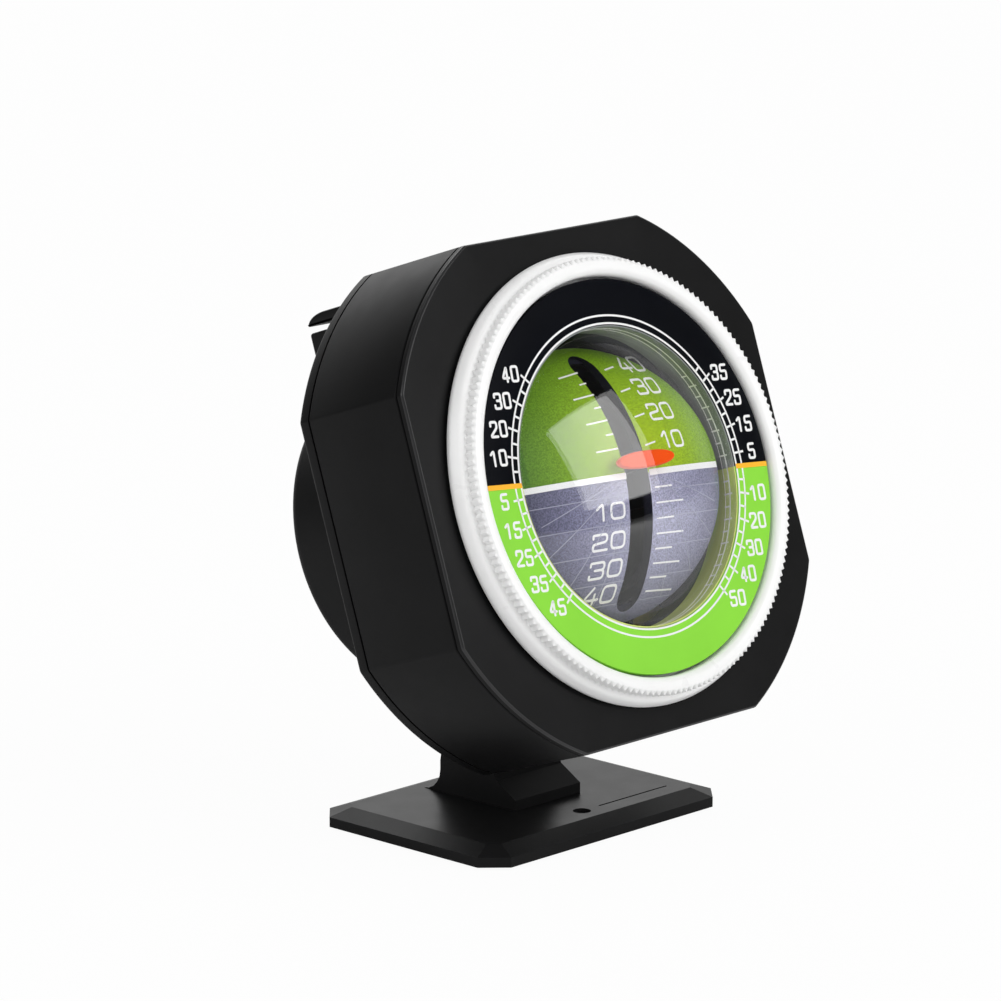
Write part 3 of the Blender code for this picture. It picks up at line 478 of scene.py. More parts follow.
green_shades = (0.42, 0.58, 0.018), (0.26, 0.47, 0.016), (0.070, 0.19, 0.012)
grey_shades = (0.46, 0.46, 0.62), (0.235, 0.235, 0.36), (0.085, 0.085, 0.15)
dial_green = shaded_print("dial_green", green_shades, 0.22, (2.5, 1.5))
dial_grey = shaded_print("dial_grey", grey_shades, 0.30, (2.0, -3.5))

# %% [markdown]
# The dome is clear acrylic. A glass shader would bend the light at both faces and dim the print, while a
# thin even wall hardly does. So the dome is drawn as clear air with a mirror coat on it. The coat is weak
# where one looks straight on and stronger at a grazing angle. A limit keeps the far flank clear, as in
# the photograph.

# %% Clear acrylic
clear_acrylic = finish("clear_acrylic", (1.0, 1.0, 1.0), 0.02, metallic=1.0)
coat = node(clear_acrylic, "ShaderNodeFresnel", {"IOR": 1.48}).outputs["Fac"]
coat = computed(clear_acrylic, "MINIMUM", coat, 0.06)
open_air = node(clear_acrylic, "ShaderNodeBsdfTransparent").outputs["BSDF"]
show_mix(clear_acrylic, coat, open_air, shader_of(clear_acrylic).outputs["BSDF"])
print("dome material nodes:", len(clear_acrylic.node_tree.nodes))

# %% [markdown]
# The case's outline is a 52 mm square whose corners are cut by a circle, and where the straight sides
# meet the arcs there is a small blend. It could be a square cut with a cylinder, but front plate, body
# and rear cover all follow this one outline at different insets. So it is a function that joins arcs.

# %% Case outline
case_half, corner_radius, corner_blend = 26.0, 28.95, 0.8


def case_outline(inset=0.0):
    """One quarter is a blend, the corner's arc and a blend. It is turned to the four corners."""
    half, radius, blend = case_half - inset, corner_radius - inset, corner_blend
    reach = math.sqrt((radius - blend) ** 2 - (half - blend) ** 2)
    bend = math.degrees(math.atan2(reach, half - blend))
    corner = arc((half - blend, reach), blend, 0, bend, 5)
    corner += arc((0, 0), radius, bend, 90 - bend, 22)[1:-1]
    corner += arc((reach, half - blend), blend, 90 - bend, 90, 5)
    return [(x * c - z * s, x * s + z * c) for c, s in ((1, 0), (0, 1), (-1, 0), (0, -1)) for x, z in corner]


def hole_outline(radius):
    """A circle with one point opposite each point of the case's outline."""
    return [circle_point((0, 0), radius, math.degrees(math.atan2(z, x))) for x, z in case_outline()]


def rolled(radius, level, direction, steps=5):
    """Sections of a rounded edge. Its face is at level, and direction leads from there to the side."""
    rows = []
    for k in range(steps + 1):
        t = math.pi / 2 * k / steps
        rows.append((
            case_outline(radius * (1 - math.sin(t))), level + direction * radius * (1 - math.cos(t)),
        ))
    return rows if direction > 0 else rows[::-1]


def case_piece(name, bm, cad_node, crease=35, materials=None):
    """A black piece of the case."""
    materials = materials or black_plastic
    return piece(name, bm, "case", materials, (cad_node,), crease)


print("outline points:", len(case_outline()))

# %% [markdown]
# The front plate is 0.8 mm thick. Its outer edge is rolled over, and that roll is the thin light line along
# the case's left side in the photograph, so it is a little glossier than the rest, and its black is painted
# lighter there as a painted highlight. The round opening for the ring has a small edge too. Opening and
# outline have the same number of points, so the plate is one hoop of sections and needs no boolean.

# %% Front plate
plate_thick = 0.8
opening_radius = 21.7
sections = [(hole_outline(opening_radius + 0.25), 0.0)] + rolled(0.3, 0.0, 1)
sections += [(case_outline(0.0), plate_thick), (hole_outline(opening_radius), plate_thick)]
sections += [(hole_outline(opening_radius), 0.25)]
front_plate = case_piece(
    "front_plate", stacked(sections, "Y", ring=True), "face_plate", 25, [black_plastic, highlight_edge_black],
)
# Faces of the rolled edge take the painted highlight, the rest the plain black.
for polygon in front_plate.data.polygons:
    rolled_face = -0.97 < polygon.normal.y < -0.1 and polygon.center.xz.length > (opening_radius + 1.0) * MM
    polygon.material_index = 1 if rolled_face else 0
print("front plate, faces:", len(front_plate.data.polygons))

# %% [markdown]
# The case body is a plain tube of the same outline behind the front plate. A thin groove shows where it
# meets the front plate and the rear cover. The groove could be cut into one solid body, but real covers
# are separate mouldings, so these are too. A lip inside each groove lets no light through.

# %% Case body
body_front, body_back = 1.0, 13.85
lip_front, lip_back = 0.75, 14.05
inner_wall, lip = case_outline(1.8), case_outline(0.5)
sections = [(inner_wall, lip_front), (lip, lip_front), (lip, body_front)]
sections += rolled(0.2, body_front, 1) + rolled(0.15, body_back, -1)
sections += [(lip, body_back), (lip, lip_back), (inner_wall, lip_back)]
case_tube = case_piece("case_tube", stacked(sections, "Y", ring=True), "case_body", 25)
print("case tube, faces:", len(case_tube.data.polygons))

# %% [markdown]
# The rear cover closes the tube. Its four screws sit in round recesses, and the can comes out of its
# middle. The recesses are cut with a boolean, because they lie off the outline's own rows of points.

# %% Rear cover
cover_front, cover_back = 14.0, 15.45
cover_bore = hole_outline(15.9)
screw_spots = rectangle(-18.2, 18.2)
sections = [(cover_bore, cover_front), (case_outline(0.0), cover_front)]
sections += rolled(0.5, cover_back, -1) + [(cover_bore, cover_back)]
recess_floor = cover_back - 0.9
recess = [
    (0.0, cover_front - 1.0), (1.0, cover_front - 1.0), (1.0, recess_floor), (1.9, recess_floor),
    (2.0, cover_back + 1.0), (0.0, cover_back + 1.0),
]
recesses = [turned(recess, 48, "Y", spot) for spot in screw_spots]
rear_plate = case_piece("rear_plate", carve(stacked(sections, "Y", ring=True), recesses), "rear_cover", 25)
print("rear plate, faces:", len(rear_plate.data.polygons))

# %% [markdown]
# The can behind the cover holds the axle of the roll pendulum. It is a turned shape with a rolled rear
# edge, so its profile is written once and spun. The hinge knuckle under it is a small block with a round
# end. It is pulled from its outline, and the pin's hole is drilled through it with a boolean.

# %% Rear can and hinge knuckle
can_front, can_back = 15.75, 30.2
can_radius = 17.1
groove_floor = can_back - 0.25
can_profile = [
    (1.3, 27.6), (3.0, 27.6), (3.0, 28.7), (15.6, 28.7), (15.6, 16.75), (14.6, 16.75), (14.6, 14.3),
    (15.6, 14.3), (15.6, can_front), (can_radius, can_front, 0.2), (can_radius, can_back, 1.1),
    (12.4, can_back, 0.1), (12.4, groove_floor, 0.1), (12.1, groove_floor, 0.1), (12.1, can_back, 0.1),
    (2.7, can_back, 0.15), (2.7, 29.1, 0.1), (1.3, 29.1),
]
can_shell = case_piece("can_shell", turned(eased(can_profile, 0.0, 6), 128), "rear_can", 30)
hinge_local = case_place.inverted() @ (hinge_spot * MM) / MM
hinge_mid = (hinge_local.y, hinge_local.z)
knuckle_radius, knuckle_top = 2.7, -16.3
knuckle_outline = arc(hinge_mid, knuckle_radius, 180, 360, 28)
knuckle_outline += [(hinge_mid[0] + side * knuckle_radius, knuckle_top) for side in (1, -1)]
knuckle = extruded(knuckle_outline, -1.6, 1.6, "X", 0.25)
case_piece("hinge_knuckle", carve(knuckle, [rod(0.88, -9.0, 9.0, 40, "X", hinge_mid)]), "rear_can")
print("can, faces:", len(can_shell.data.polygons))

# %% [markdown]
# On top of the can sits a clip: a block, and over it a thin leaf with a rounded nose. A narrow slit of
# daylight shows between them. Both are small mouldings with softened edges, so they are pulled from
# outlines with eased rims. The leaf's root is joined to it, and the screw's hole goes through both.

# %% Clip on the can
clip_half, clip_end = 8.0, 30.0
clip_screw_mid = (0.0, 22.1)


def screw_hole(low):
    return rod(0.78, low, 40.0, 24, "Z", clip_screw_mid)


block = box_body((-clip_half, 20.5, 0.0), (clip_half, clip_end, 22.3), 0.3)
case_piece("clip_base", carve(block, [rod(17.4, 0.0, 60.0), screw_hole(19.0)]), "clip_block")
leaf_front, leaf_low, leaf_thick = 16.0, 23.0, 1.2
nose, nose_steps = 2.7, 12
leaf_outline = [(leaf_front, leaf_low, 0.25), (clip_end, leaf_low, 0.15)]
for k in range(1, nose_steps + 1):
    t = math.pi / 2 * k / nose_steps
    leaf_outline.append((clip_end - nose * (1 - math.cos(t)), leaf_low + leaf_thick * math.sin(t), 0.0))
leaf_outline.append((leaf_front, leaf_low + leaf_thick, 0.4))
leaf = extruded(eased(leaf_outline, 0.0), -clip_half, clip_half, "X", 0.25)
leaf_root = box_body((-clip_half + 0.4, 20.8, 22.6), (clip_half - 0.4, 23.4, 23.6))
leaf = carve(leaf, [leaf_root], "UNION")
clip_tongue = case_piece("clip_tongue", carve(leaf, [screw_hole(10.0)]), "clip_leaf")
print("clip tongue, faces:", len(clip_tongue.data.polygons))

# %% [markdown]
# Screws: a domed head with a cross recess on a plain shank. The thread is never seen, so it is left out.
# The recess is cut with two tapered bars, because a dark picture of a cross would look flat up close.
# One function makes all of them, as one supplier would.

# %% Screws
def cross_screw(name, cad_node, mid, axis, tip, seat):
    """A case screw along an axis, from its tip to its seat, where the head starts."""
    shank, head_radius, head_high = 0.7, 1.6, 0.6
    top = seat + head_high
    profile = [
        (0.0, tip), (shank * 0.7, tip), (shank, tip + 0.4), (shank, seat), (head_radius, seat, 0.08),
        (head_radius, seat + head_high * 0.55, 0.25), (head_radius * 0.62, top, 0.2), (0.0, top),
    ]
    blank = turned(eased(profile, 0.0, 3, closed=False), 40, axis, mid)
    arm, arm_half = head_radius * 0.62, 0.17
    bars = []
    for long_u, long_v in ((arm, arm_half), (arm_half, arm)):
        outline = rectangle(-long_u, -long_v)
        wide = [(mid[0] + u, mid[1] + v) for u, v in outline]
        narrow = [(mid[0] + u * 0.6, mid[1] + v * 0.8) for u, v in outline]
        bars.append(stacked([(narrow, top - head_high * 0.75), (wide, top + 0.1)], axis))
    return piece(name, carve(blank, bars), "case", steel, (cad_node,), crease=40)


for number, spot in enumerate(screw_spots, 1):
    cross_screw("cover_screw_head_%d" % number, "cover_screw_%d" % number, spot, "Y", 7.7, 14.7)
cross_screw("clip_fixing", "clip_screw", clip_screw_mid, "Z", 19.3, 24.35)
print("screws made:", len(screw_spots) + 1)

# %% [markdown]
# The foot is one moulding: a plate with cut corners and a wide bevel, a neck that leans into two ears,
# and a slot between the ears for the knuckle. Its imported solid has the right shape, so it stays, and
# a bevel modifier softens its edges.

# %% Foot
def soften(cad_node, material, width=0.0):
    """Keeps a CAD solid, with eased edges and a better finish."""
    thing = frame["nodes"][cad_node]
    thing.data.materials.clear()
    thing.data.materials.append(material)
    if width > 0:
        bevel = thing.modifiers.new("eased edges", "BEVEL")
        bevel.width, bevel.segments = width, 2
        bevel.limit_method, bevel.angle_limit = "ANGLE", math.radians(30)
        bevel.harden_normals = False


for name, material, width in (("stand", foot_black, 0.18 * MM), ("adhesive_pad", pad_foam, 0.0)):
    soften(name, material, width)
    print("kept the solid of the", name)

# %% [markdown]
# The hinge has a pin with a domed head, a hexagon nut and two thin washers, all in steel. Pin and nut
# are drawn anew, because their eased edges catch the light. The washers are hardly seen between the ears,
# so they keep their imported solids.

# %% Hinge hardware
hinge_centre = (hinge_spot.y, hinge_spot.z)
pin_profile = [
    (0.0, -4.8), (1.2, -4.8, 0.2), (1.5, -4.5, 0.15), (1.5, -4.2, 0.05), (0.8, -4.2), (0.8, 5.15, 0.1),
    (0.6, 5.4, 0.05), (0.0, 5.4),
]
pin = turned(eased(pin_profile, 0.0, 3, closed=False), 48, "X", hinge_centre)
piece("hinge_bolt", pin, "foot", steel, ("hinge_pin",))
hexagon = [circle_point(hinge_centre, 1.8, 60 * k) for k in range(6)]
nut = extruded(eased(hexagon, 0.08, 2), 4.2, 5.1, "X", 0.12)
nut = carve(nut, [rod(0.96, 3.0, 6.0, 32, "X", hinge_centre)])
piece("hinge_hex_nut", nut, "foot", steel, ("hinge_nut",))
for name in ("hinge_washer_left", "hinge_washer_right"):
    soften(name, steel)
print("hinge pieces:", [name for name in pieces_made if name.startswith("hinge")])

# %% [markdown]
# The ring is what a driver turns. From the front plate out it has a smooth foot, then a band of 176 fine
# teeth, then a face that slopes down to the scale. A turned profile gives the shape. Teeth could be an
# array of small wedges, but those would leave faces inside the ring. Here the band's radius swings with
# the angle, so ring and teeth stay one clean mesh.

# %% Toothed ring
tooth_count = 176
tooth_height = 0.4
tooth_shape = (0.0, 0.55, 1.0, 0.55)
ring_profile = [
    (20.5, -2.62, 0.12), (20.5, -0.3), (19.4, -0.3), (19.4, 3.2), (21.4, 3.2), (21.4, -0.3),
    (23.15, -0.3, 0.12), (23.3, -0.75, 0.3), (22.85, -1.75, 0.3), (22.1, -2.08, 0.12), (22.0, -2.22),
    (22.0, -2.7), (22.0, -3.08), (21.92, -3.26, 0.1), (21.6, -3.35, 0.2), (21.05, -3.28, 0.2),
    (20.62, -2.95, 0.15),
]
toothed_corners = {(22.0, -2.22): 1.0, (22.0, -2.7): 1.0, (22.0, -3.08): 1.0, (21.92, -3.26): 0.35}


def tooth_share(radius, level):
    """How far the teeth stand out at a point of the ring's profile, from 0 to 1."""
    for (corner, height), share in toothed_corners.items():
        if abs(corner - radius) < 0.08 and abs(height - level) < 0.09:
            return share
    return 0.0


def ring_mesh():
    bm = bmesh.new()
    around = tooth_count * len(tooth_shape)
    loops = []
    for radius, level in eased(ring_profile, 0.0, 3):
        reach = tooth_height * tooth_share(radius, level)
        loop = []
        for k in range(around):
            r = radius + reach * tooth_shape[k % len(tooth_shape)]
            x, z = circle_point((0, 0), r, 360 * k / around)
            loop.append(bm.verts.new((x, level, z)))
        loops.append(loop)
    skin(bm, loops, ring=True)
    return bm


toothed_ring = piece(
    "toothed_ring", ring_mesh(), "ring", white_plastic, ("serrated_ring",), crease=50,
)
print("ring, faces:", len(toothed_ring.data.polygons))

# %% [markdown]
# The scale disc is flat, with a window in the middle. Its faces meet along the horizontal through its
# centre, and each face gets its colour by its height, the upper half black and the lower half lime. Two
# half discs would show a seam there, and one disc has a crisp border without it.

# %% Scale disc
window_radius, disc_radius = 15.5, 20.2
disc_front, disc_back = -2.5, -1.7


def washer_profile(inner, outer, front, back):
    return [(inner, front), (outer, front), (outer, back), (inner, back)]


disc_profile = eased(washer_profile(window_radius, disc_radius, disc_front, disc_back), 0.06, 2)
scale_disc = piece(
    "scale_disc", turned(disc_profile, 180), "ring", [dial_black, dial_lime], ("outer_dial",),
    crease=50,
)
for polygon in scale_disc.data.polygons:
    polygon.material_index = 0 if polygon.center.z > 0 else 1
print("scale disc, faces:", len(scale_disc.data.polygons))

# %% [markdown]
# All print is ink with a real, tiny thickness. It could be an image on the dial, but real ribbons stay
# sharp at any distance and need no picture file. Each figure is one or two bent lines in a unit box,
# eased at the corners and widened into a ribbon. A function that knows the dial's surface lays the ribbon
# on it, so the same code prints flat and curved. A line that ends where it starts is a closed one.

# %% Ink ribbons and figures
ink_lift, ink_sink = 0.025, 0.02
end_shape = ((0.92, 0.18), (0.71, 0.35), (0.38, 0.46))


def resampled(points, step, closed=False):
    """Adds points so that no stretch is longer than step, and leaves out repeated ones."""
    source = list(points) + ([points[0]] if closed else [])
    result = [source[0]]
    for a, b in zip(source, source[1:]):
        parts = max(1, math.ceil(math.dist(a, b) / step))
        for k in range(1, parts + 1):
            spot = (a[0] + (b[0] - a[0]) * k / parts, a[1] + (b[1] - a[1]) * k / parts)
            if math.dist(spot, result[-1]) > SMALL:
                result.append(spot)
    return result[:-1] if closed else result


def ink_line(bm, points, width, lay, closed=False, round_ends=False, step=0.5):
    """A flat ribbon along a polyline, laid on a surface by lay(u, v, lift)."""
    spine = [Vector(point) for point in resampled(points, step, closed)]
    rows = []
    for k, here in enumerate(spine):
        before = spine[k - 1] if closed or k > 0 else here
        after = spine[(k + 1) % len(spine)] if closed or k < len(spine) - 1 else here
        a, b = here - before, after - here
        a = a.normalized() if a.length > 0 else b.normalized()
        b = b.normalized() if b.length > 0 else a
        tangent = (a + b).normalized()
        normal = Vector((-tangent.y, tangent.x))
        stretch = 1.0 / max(0.5, normal.dot(Vector((-a.y, a.x))))
        rows.append((here, tangent, normal * width / 2 * stretch))
    if round_ends and not closed:
        for end, way in ((0, -1), (-1, 1)):
            here, tangent, half = rows[end]
            extra = [(here + tangent * way * width * out, tangent, half * share) for share, out in end_shape]
            rows = extra[::-1] + rows if way < 0 else rows + extra
    loops = []
    for here, tangent, half in rows:
        left, right = here + half, here - half
        corners = ((left, ink_lift), (right, ink_lift), (right, -ink_sink), (left, -ink_sink))
        loops.append([bm.verts.new(lay(spot.x, spot.y, lift)) for spot, lift in corners])
    skin(bm, loops, ring=closed)
    if not closed:
        bm.faces.new(loops[0])
        bm.faces.new(loops[-1])


ZERO = [[(0, 0), (1, 0), (1, 1), (0, 1), (0, 0)]]
NARROW_FIGURES = {
    "0": ZERO,
    "1": [[(0.12, 0.76), (0.62, 1.0), (0.62, 0.0)]],
    "2": [[(0, 0.74), (0, 1), (1, 1), (1, 0.60), (0, 0.10), (0, 0), (1.02, 0)]],
    "3": [
        [(0, 0.78), (0, 1), (1, 1), (1, 0.53), (0.38, 0.53)],
        [(0.38, 0.53), (1, 0.53), (1, 0), (0, 0), (0, 0.22)],
    ],
    "4": [[(0.74, 0.0), (0.74, 1.0), (0.0, 0.24), (1.05, 0.24)]],
    "5": [[(0.96, 1), (0.03, 1), (0.0, 0.55), (1, 0.58), (1, 0), (0, 0), (0, 0.22)]],
}
WIDE_FIGURES = {
    "0": ZERO,
    "1": [[(0.30, 0.74), (0.62, 1.0), (0.74, 1.0), (0.74, 0.0)]],
    "2": [[(0, 0.78), (0, 1), (1, 1), (1, 0.52), (0.12, 0.42), (0, 0.36), (0, 0), (1.02, 0)]],
    "3": [
        [(0, 0.80), (0, 1), (1, 1), (1, 0.52), (0.34, 0.52)],
        [(0.34, 0.52), (1, 0.52), (1, 0), (0, 0), (0, 0.20)],
    ],
    "4": [[(0.62, 1.0), (0.0, 0.26), (1.08, 0.26)], [(0.78, 0.60), (0.78, 0.0)]],
}


def ink_number(bm, number, centre, lay, figures, width, height, gap, stroke, corner):
    """Prints a number with its middle at centre. A later stroke lies a little higher than the first."""
    text = str(number)
    total = len(text) * width + (len(text) - 1) * gap
    for place, figure in enumerate(text):
        left = centre[0] - total / 2 + place * (width + gap)
        for order, line in enumerate(figures[figure]):
            closed = line[0] == line[-1]
            points = [(left + u * width, centre[1] + (v - 0.5) * height) for u, v in line]
            soft = eased(points[:-1] if closed else points, corner, 5, closed)
            raised = 1.0 + 0.12 * order
            ink_line(bm, soft, stroke, lambda a, b, lift: lay(a, b, lift * raised), closed, True, 0.4)
print("figures:", sorted(NARROW_FIGURES), "and", sorted(WIDE_FIGURES))

# %% [markdown]
# The outer scale counts degrees of roll, up and down from the amber horizon line. Two thin circles carry
# a tick every five degrees, and on each side the tens and the fives are numbered above and below the line
# in turn, so the figures have room. The ticks could be typed one by one, but a list of four quarters says
# enough: where each starts, which way it goes, which angles it numbers and where it ends.

# %% Outer scale print
def on_scale(u, v, lift):
    return (u, disc_front - lift, v)


scale_quarters = [
    (180, 1, (10, 20, 30, 40), 40), (180, -1, (5, 15, 25, 35, 45), 45), (0, 1, (5, 15, 25, 35), 40),
    (0, -1, (10, 20, 30, 40, 50), 50),
]


def on_circle(start, up, angle):
    """The direction of an angle that is counted from the horizon, up or down."""
    return (angle if start == 0 else start - angle) * up


def scale_ticks():
    """Each tick's direction, and whether it has a number."""
    for start, up, labelled, last in scale_quarters:
        for angle in range(5, last + 1, 5):
            yield on_circle(start, up, angle), angle in labelled


scale_print = bmesh.new()
circle_outer, circle_inner = 16.43, 15.62
for radius in (circle_outer, circle_inner):
    ink_line(scale_print, arc((0, 0), radius, 0, 358, 179), 0.2, on_scale, closed=True, step=1.0)
for direction, labelled in scale_ticks():
    outer_end = circle_outer + (0.62 if labelled else 0.0)
    ends = [circle_point((0, 0), radius, direction) for radius in (circle_inner, outer_end)]
    ink_line(scale_print, ends, 0.22, on_scale)
figure_radius = 18.3
for start, up, labelled, last in scale_quarters:
    for angle in labelled:
        leaned = angle - 2.6 * math.sin(math.radians(2 * angle))
        spot = circle_point((0, 0), figure_radius, on_circle(start, up, leaned))
        ink_number(scale_print, angle, spot, on_scale, NARROW_FIGURES, 0.82, 1.46, 0.46, 0.27, 0.24)
piece("scale_print", scale_print, "ring", ink_white)

amber_print = bmesh.new()
for way in (-1, 1):
    ends = [(way * (window_radius + 0.02), 0.0), (way * (disc_radius - 0.02), 0.0)]
    ink_line(amber_print, ends, 0.5, lambda u, v, lift: on_scale(u, v, lift * 1.6))
piece("amber_print", amber_print, "ring", ink_amber)
print("scale print done")

# %% [markdown]
# Inside the window a thin liner leads from the disc back to the inner dial. In the photograph the clear edge
# of the dome carries the scale's mirror image there, darker than the print itself. A real mirror would make
# that image noisy and would lose it from most sides. Here the liner carries it as a painted reflection: a
# dark upper band and an olive lower band for the disc's two halves, and ink ticks for the scale, placed by
# the same list of quarters. Further back the liner is black, a dark sheet of painted shade over the works
# behind it.

# %% Window liner with a painted reflection
liner_outer, liner_inner = 15.45, 15.3
liner_front, liner_middle, liner_back = -2.4, 1.2, 4.0
liner_profile = washer_profile(liner_inner, liner_outer, liner_front, liner_back)
liner_profile.append((liner_inner, liner_middle))
# Painted reflection: the dark and olive bands are the disc's black and lime halves as the dome's edge
# mirrors them, and the ink is the mirrored scale.
liner_reflected_dark = moulded("liner_reflected_dark", (0.20, 0.215, 0.21), 0.2, 0.35, 0.05, 0.3, 0.002)
liner_reflected_olive = moulded("liner_reflected_olive", (0.58, 0.66, 0.18), 0.15, 0.35, 0.05, 0.3, 0.002)
liner_reflection_ink = moulded("liner_reflection_ink", (0.95, 0.95, 0.90), 0.1, 0.4, 0.05, 0.3, 0.002)
reflection_liner = piece(
    "reflection_liner", turned(liner_profile, 180), "ring", [liner_reflected_dark, liner_reflected_olive, inner_black],
    crease=50,
)
for polygon in reflection_liner.data.polygons:
    if polygon.center.y > liner_middle * MM:
        polygon.material_index = 2
    else:
        polygon.material_index = 0 if polygon.center.z > 0 else 1


def on_liner(along, level, lift):
    """The liner's inner face unrolled: along is an arc length, level a depth."""
    t, radius = along / liner_inner, liner_inner - lift
    return (radius * math.cos(t), level, radius * math.sin(t))


# The circles and ticks below are the scale's painted reflection.
liner_reflection_print = bmesh.new()
mirror_inner, mirror_outer = -0.81, -1.47
for level, width in ((mirror_inner, 0.08), (mirror_outer, 0.16)):
    around = [(liner_inner * math.tau * k / 180, level) for k in range(181)]
    ink_line(liner_reflection_print, around, width, on_liner, step=1.0)
for direction, labelled in scale_ticks():
    along = math.radians(direction) * liner_inner
    ends = [(along, mirror_inner + 0.12), (along, mirror_outer - (0.32 if labelled else 0.0))]
    ink_line(liner_reflection_print, ends, 0.17, on_liner)
piece("liner_reflection_print", liner_reflection_print, "ring", liner_reflection_ink)
print("window liner done")

# %% [markdown]
# The dome is a shallow acrylic cap, 1.2 mm thick, that ends at the window's edge. Both its faces are
# parts of spheres with one centre, so its wall is even. A sphere could be cut down to a cap, but two
# arcs turned on a lathe give it at once.

# %% Dome
dome_radius, dome_apex, dome_thick = 15.2, -8.0, 1.2
dome_rise = disc_front - dome_apex
dome_curve = (dome_radius**2 + dome_rise**2) / (2 * dome_rise)
dome_centre = dome_apex + dome_curve


def dome_row(curve, edge, rows=28):
    """Points from the apex to the edge of one of the dome's faces."""
    limit = math.asin(edge / curve)
    angles = [limit * k / rows for k in range(rows + 1)]
    return [(curve * math.sin(t), dome_centre - curve * math.cos(t)) for t in angles]


dome_profile = dome_row(dome_curve, dome_radius)
dome_profile += reversed(dome_row(dome_curve - dome_thick, dome_radius - 0.4))
piece(
    "clear_dome", turned(dome_profile, 160), "ring", clear_acrylic, ("dome_lens",),
    crease=30,
)
print("dome curve, mm:", round(dome_curve, 2))

# %% [markdown]
# The inner dial is a barrel: upright it bends about the pitch axis, so the pointer keeps its distance
# from it, and across it bends gently. A slot could be cut with a boolean, but that leaves long thin
# faces, which shade badly on a curved surface. So the dial is drawn in rows, each from the slot's edge to
# the rim. The two colours meet on a row of their own.

# %% Inner dial
dial_radius, dial_apex, dial_thick = 14.2, -3.5, 1.2
bend_tall, bend_wide = 18.0, 44.0
slot_half, slot_tip, slot_middle = 1.65, 13.2, -0.15
columns = 26


def dial_level(x, z):
    tall = bend_tall - math.sqrt(bend_tall**2 - z**2)
    return dial_apex + tall + bend_wide - math.sqrt(bend_wide**2 - x**2)


def slot_edge(z):
    """Half the slot's width at a height."""
    beyond = abs(z) - (slot_tip - slot_half)
    return slot_half if beyond <= 0 else math.sqrt(max(0.0, slot_half**2 - beyond**2))


def dial_heights():
    """Heights from the lowest to the highest, closer together at the slot's tips and at the rim."""
    straight = slot_tip - slot_half
    bends = [math.sin(math.pi / 2 * k / 8) for k in range(1, 9)]
    heights = [0.0] + [straight * k / 28 for k in range(1, 29)]
    heights += [slot_tip - slot_half * (1 - bend) for bend in bends]
    heights += [slot_tip + (dial_radius - slot_tip) * bend for bend in bends]
    return [-h for h in reversed(heights[1:])] + heights


def inner_dial_mesh():
    bm = bmesh.new()
    heights = dial_heights()
    faces = []
    for depth in (0.0, dial_thick):
        grid = {}
        for row, z in enumerate(heights):
            rim = math.sqrt(max(0.0, dial_radius**2 - z**2))
            near = min(slot_edge(z), rim)
            shift = slot_middle * near / slot_half
            for way in (-1, 1):
                for column in range(columns + 1):
                    share = column / columns
                    x = way * (near + (rim - near) * share) + shift * (1 - share)
                    grid[(row, way, column)] = bm.verts.new((x, dial_level(x, z) + depth, z))
        faces.append(grid)
        for row, way, column in grid:
            if row < len(heights) - 1 and column < columns:
                corners = [(row, column), (row, column + 1), (row + 1, column + 1), (row + 1, column)]
                bm.faces.new([grid[(r, way, c)] for r, c in corners])
    front, back = faces
    for row in range(len(heights) - 1):
        open_slot = max(slot_edge(heights[row]), slot_edge(heights[row + 1])) > 0
        for way in (-1, 1):
            for column in ((columns, 0) if open_slot else (columns,)):
                a, b = (row, way, column), (row + 1, way, column)
                bm.faces.new((front[a], front[b], back[b], back[a]))
    bmesh.ops.remove_doubles(bm, verts=bm.verts, dist=2 * SMALL)
    flat = [f for f in bm.faces if f.calc_area() < 1e-7]
    bmesh.ops.delete(bm, geom=flat, context="FACES_ONLY")
    return bm


rolling_dial = piece(
    "rolling_dial", inner_dial_mesh(), "roll_pendulum", [dial_green, dial_grey, inner_black],
    ("inner_dial",), crease=50,
)
# Faces that don't look forward, the slot's walls among them, get the near-black: painted shade, so the slot
# shows as one dark gap.
for polygon in rolling_dial.data.polygons:
    polygon.material_index = 2
    if polygon.normal.y < -0.3:
        polygon.material_index = 0 if polygon.center.z > 0 else 1
rim_outer, rim_inner, rim_back = 14.1, 12.4, 4.5


def dial_rim_mesh(steps=160):
    """A hoop behind the dial whose front edge follows the barrel."""
    bm = bmesh.new()
    loops = []
    for radius, front_edge in ((rim_outer, True), (rim_outer, False), (rim_inner, False), (rim_inner, True)):
        loop = []
        for k in range(steps):
            x, z = circle_point((0, 0), radius, 360 * k / steps)
            level = dial_level(x, z) + dial_thick * 0.6 if front_edge else rim_back
            loop.append(bm.verts.new((x, level, z)))
        loops.append(loop)
    skin(bm, loops, ring=True)
    return bm


piece("dial_rim", dial_rim_mesh(), "roll_pendulum", inner_black, ("inner_dial",))
print("rolling dial, faces:", len(rolling_dial.data.polygons))

# %% [markdown]
# The inner dial's print has a white horizon band, pitch figures and ticks on both sides of the slot, and
# in the lower half a faint grid in perspective, like a plain that runs to the horizon. The same ribbons
# as on the outer scale do it, with a function that follows the barrel, so no line floats or sinks.

# %% Inner dial print
def on_dial(u, v, lift):
    return (u, dial_level(u, v) - lift, v)


def pitch_height(degrees):
    """Height on the barrel where the pointer stands at that pitch."""
    return bend_tall * math.sin(math.radians(degrees))


def chord(v, inset=0.25):
    """Half the dial's width at a height."""
    return math.sqrt(max(0.0, (dial_radius - inset) ** 2 - v**2))


def both_sides(bm, v, gap, inset, width):
    """A line across the dial, left and right of the slot."""
    for way in (-1, 1):
        ink_line(bm, [(way * (slot_half + gap), v), (way * chord(v, inset), v)], width, on_dial)


def pitch_tick(start, reach, degrees, tilt, shift=0.0):
    """A tick from start towards reach, tilted a little as the print is."""
    v = pitch_height(degrees) + shift
    rise = math.tan(math.radians(tilt)) * reach
    ink_line(pitch_print, [(start, v), (start + reach, v + rise)], 0.17, on_dial)


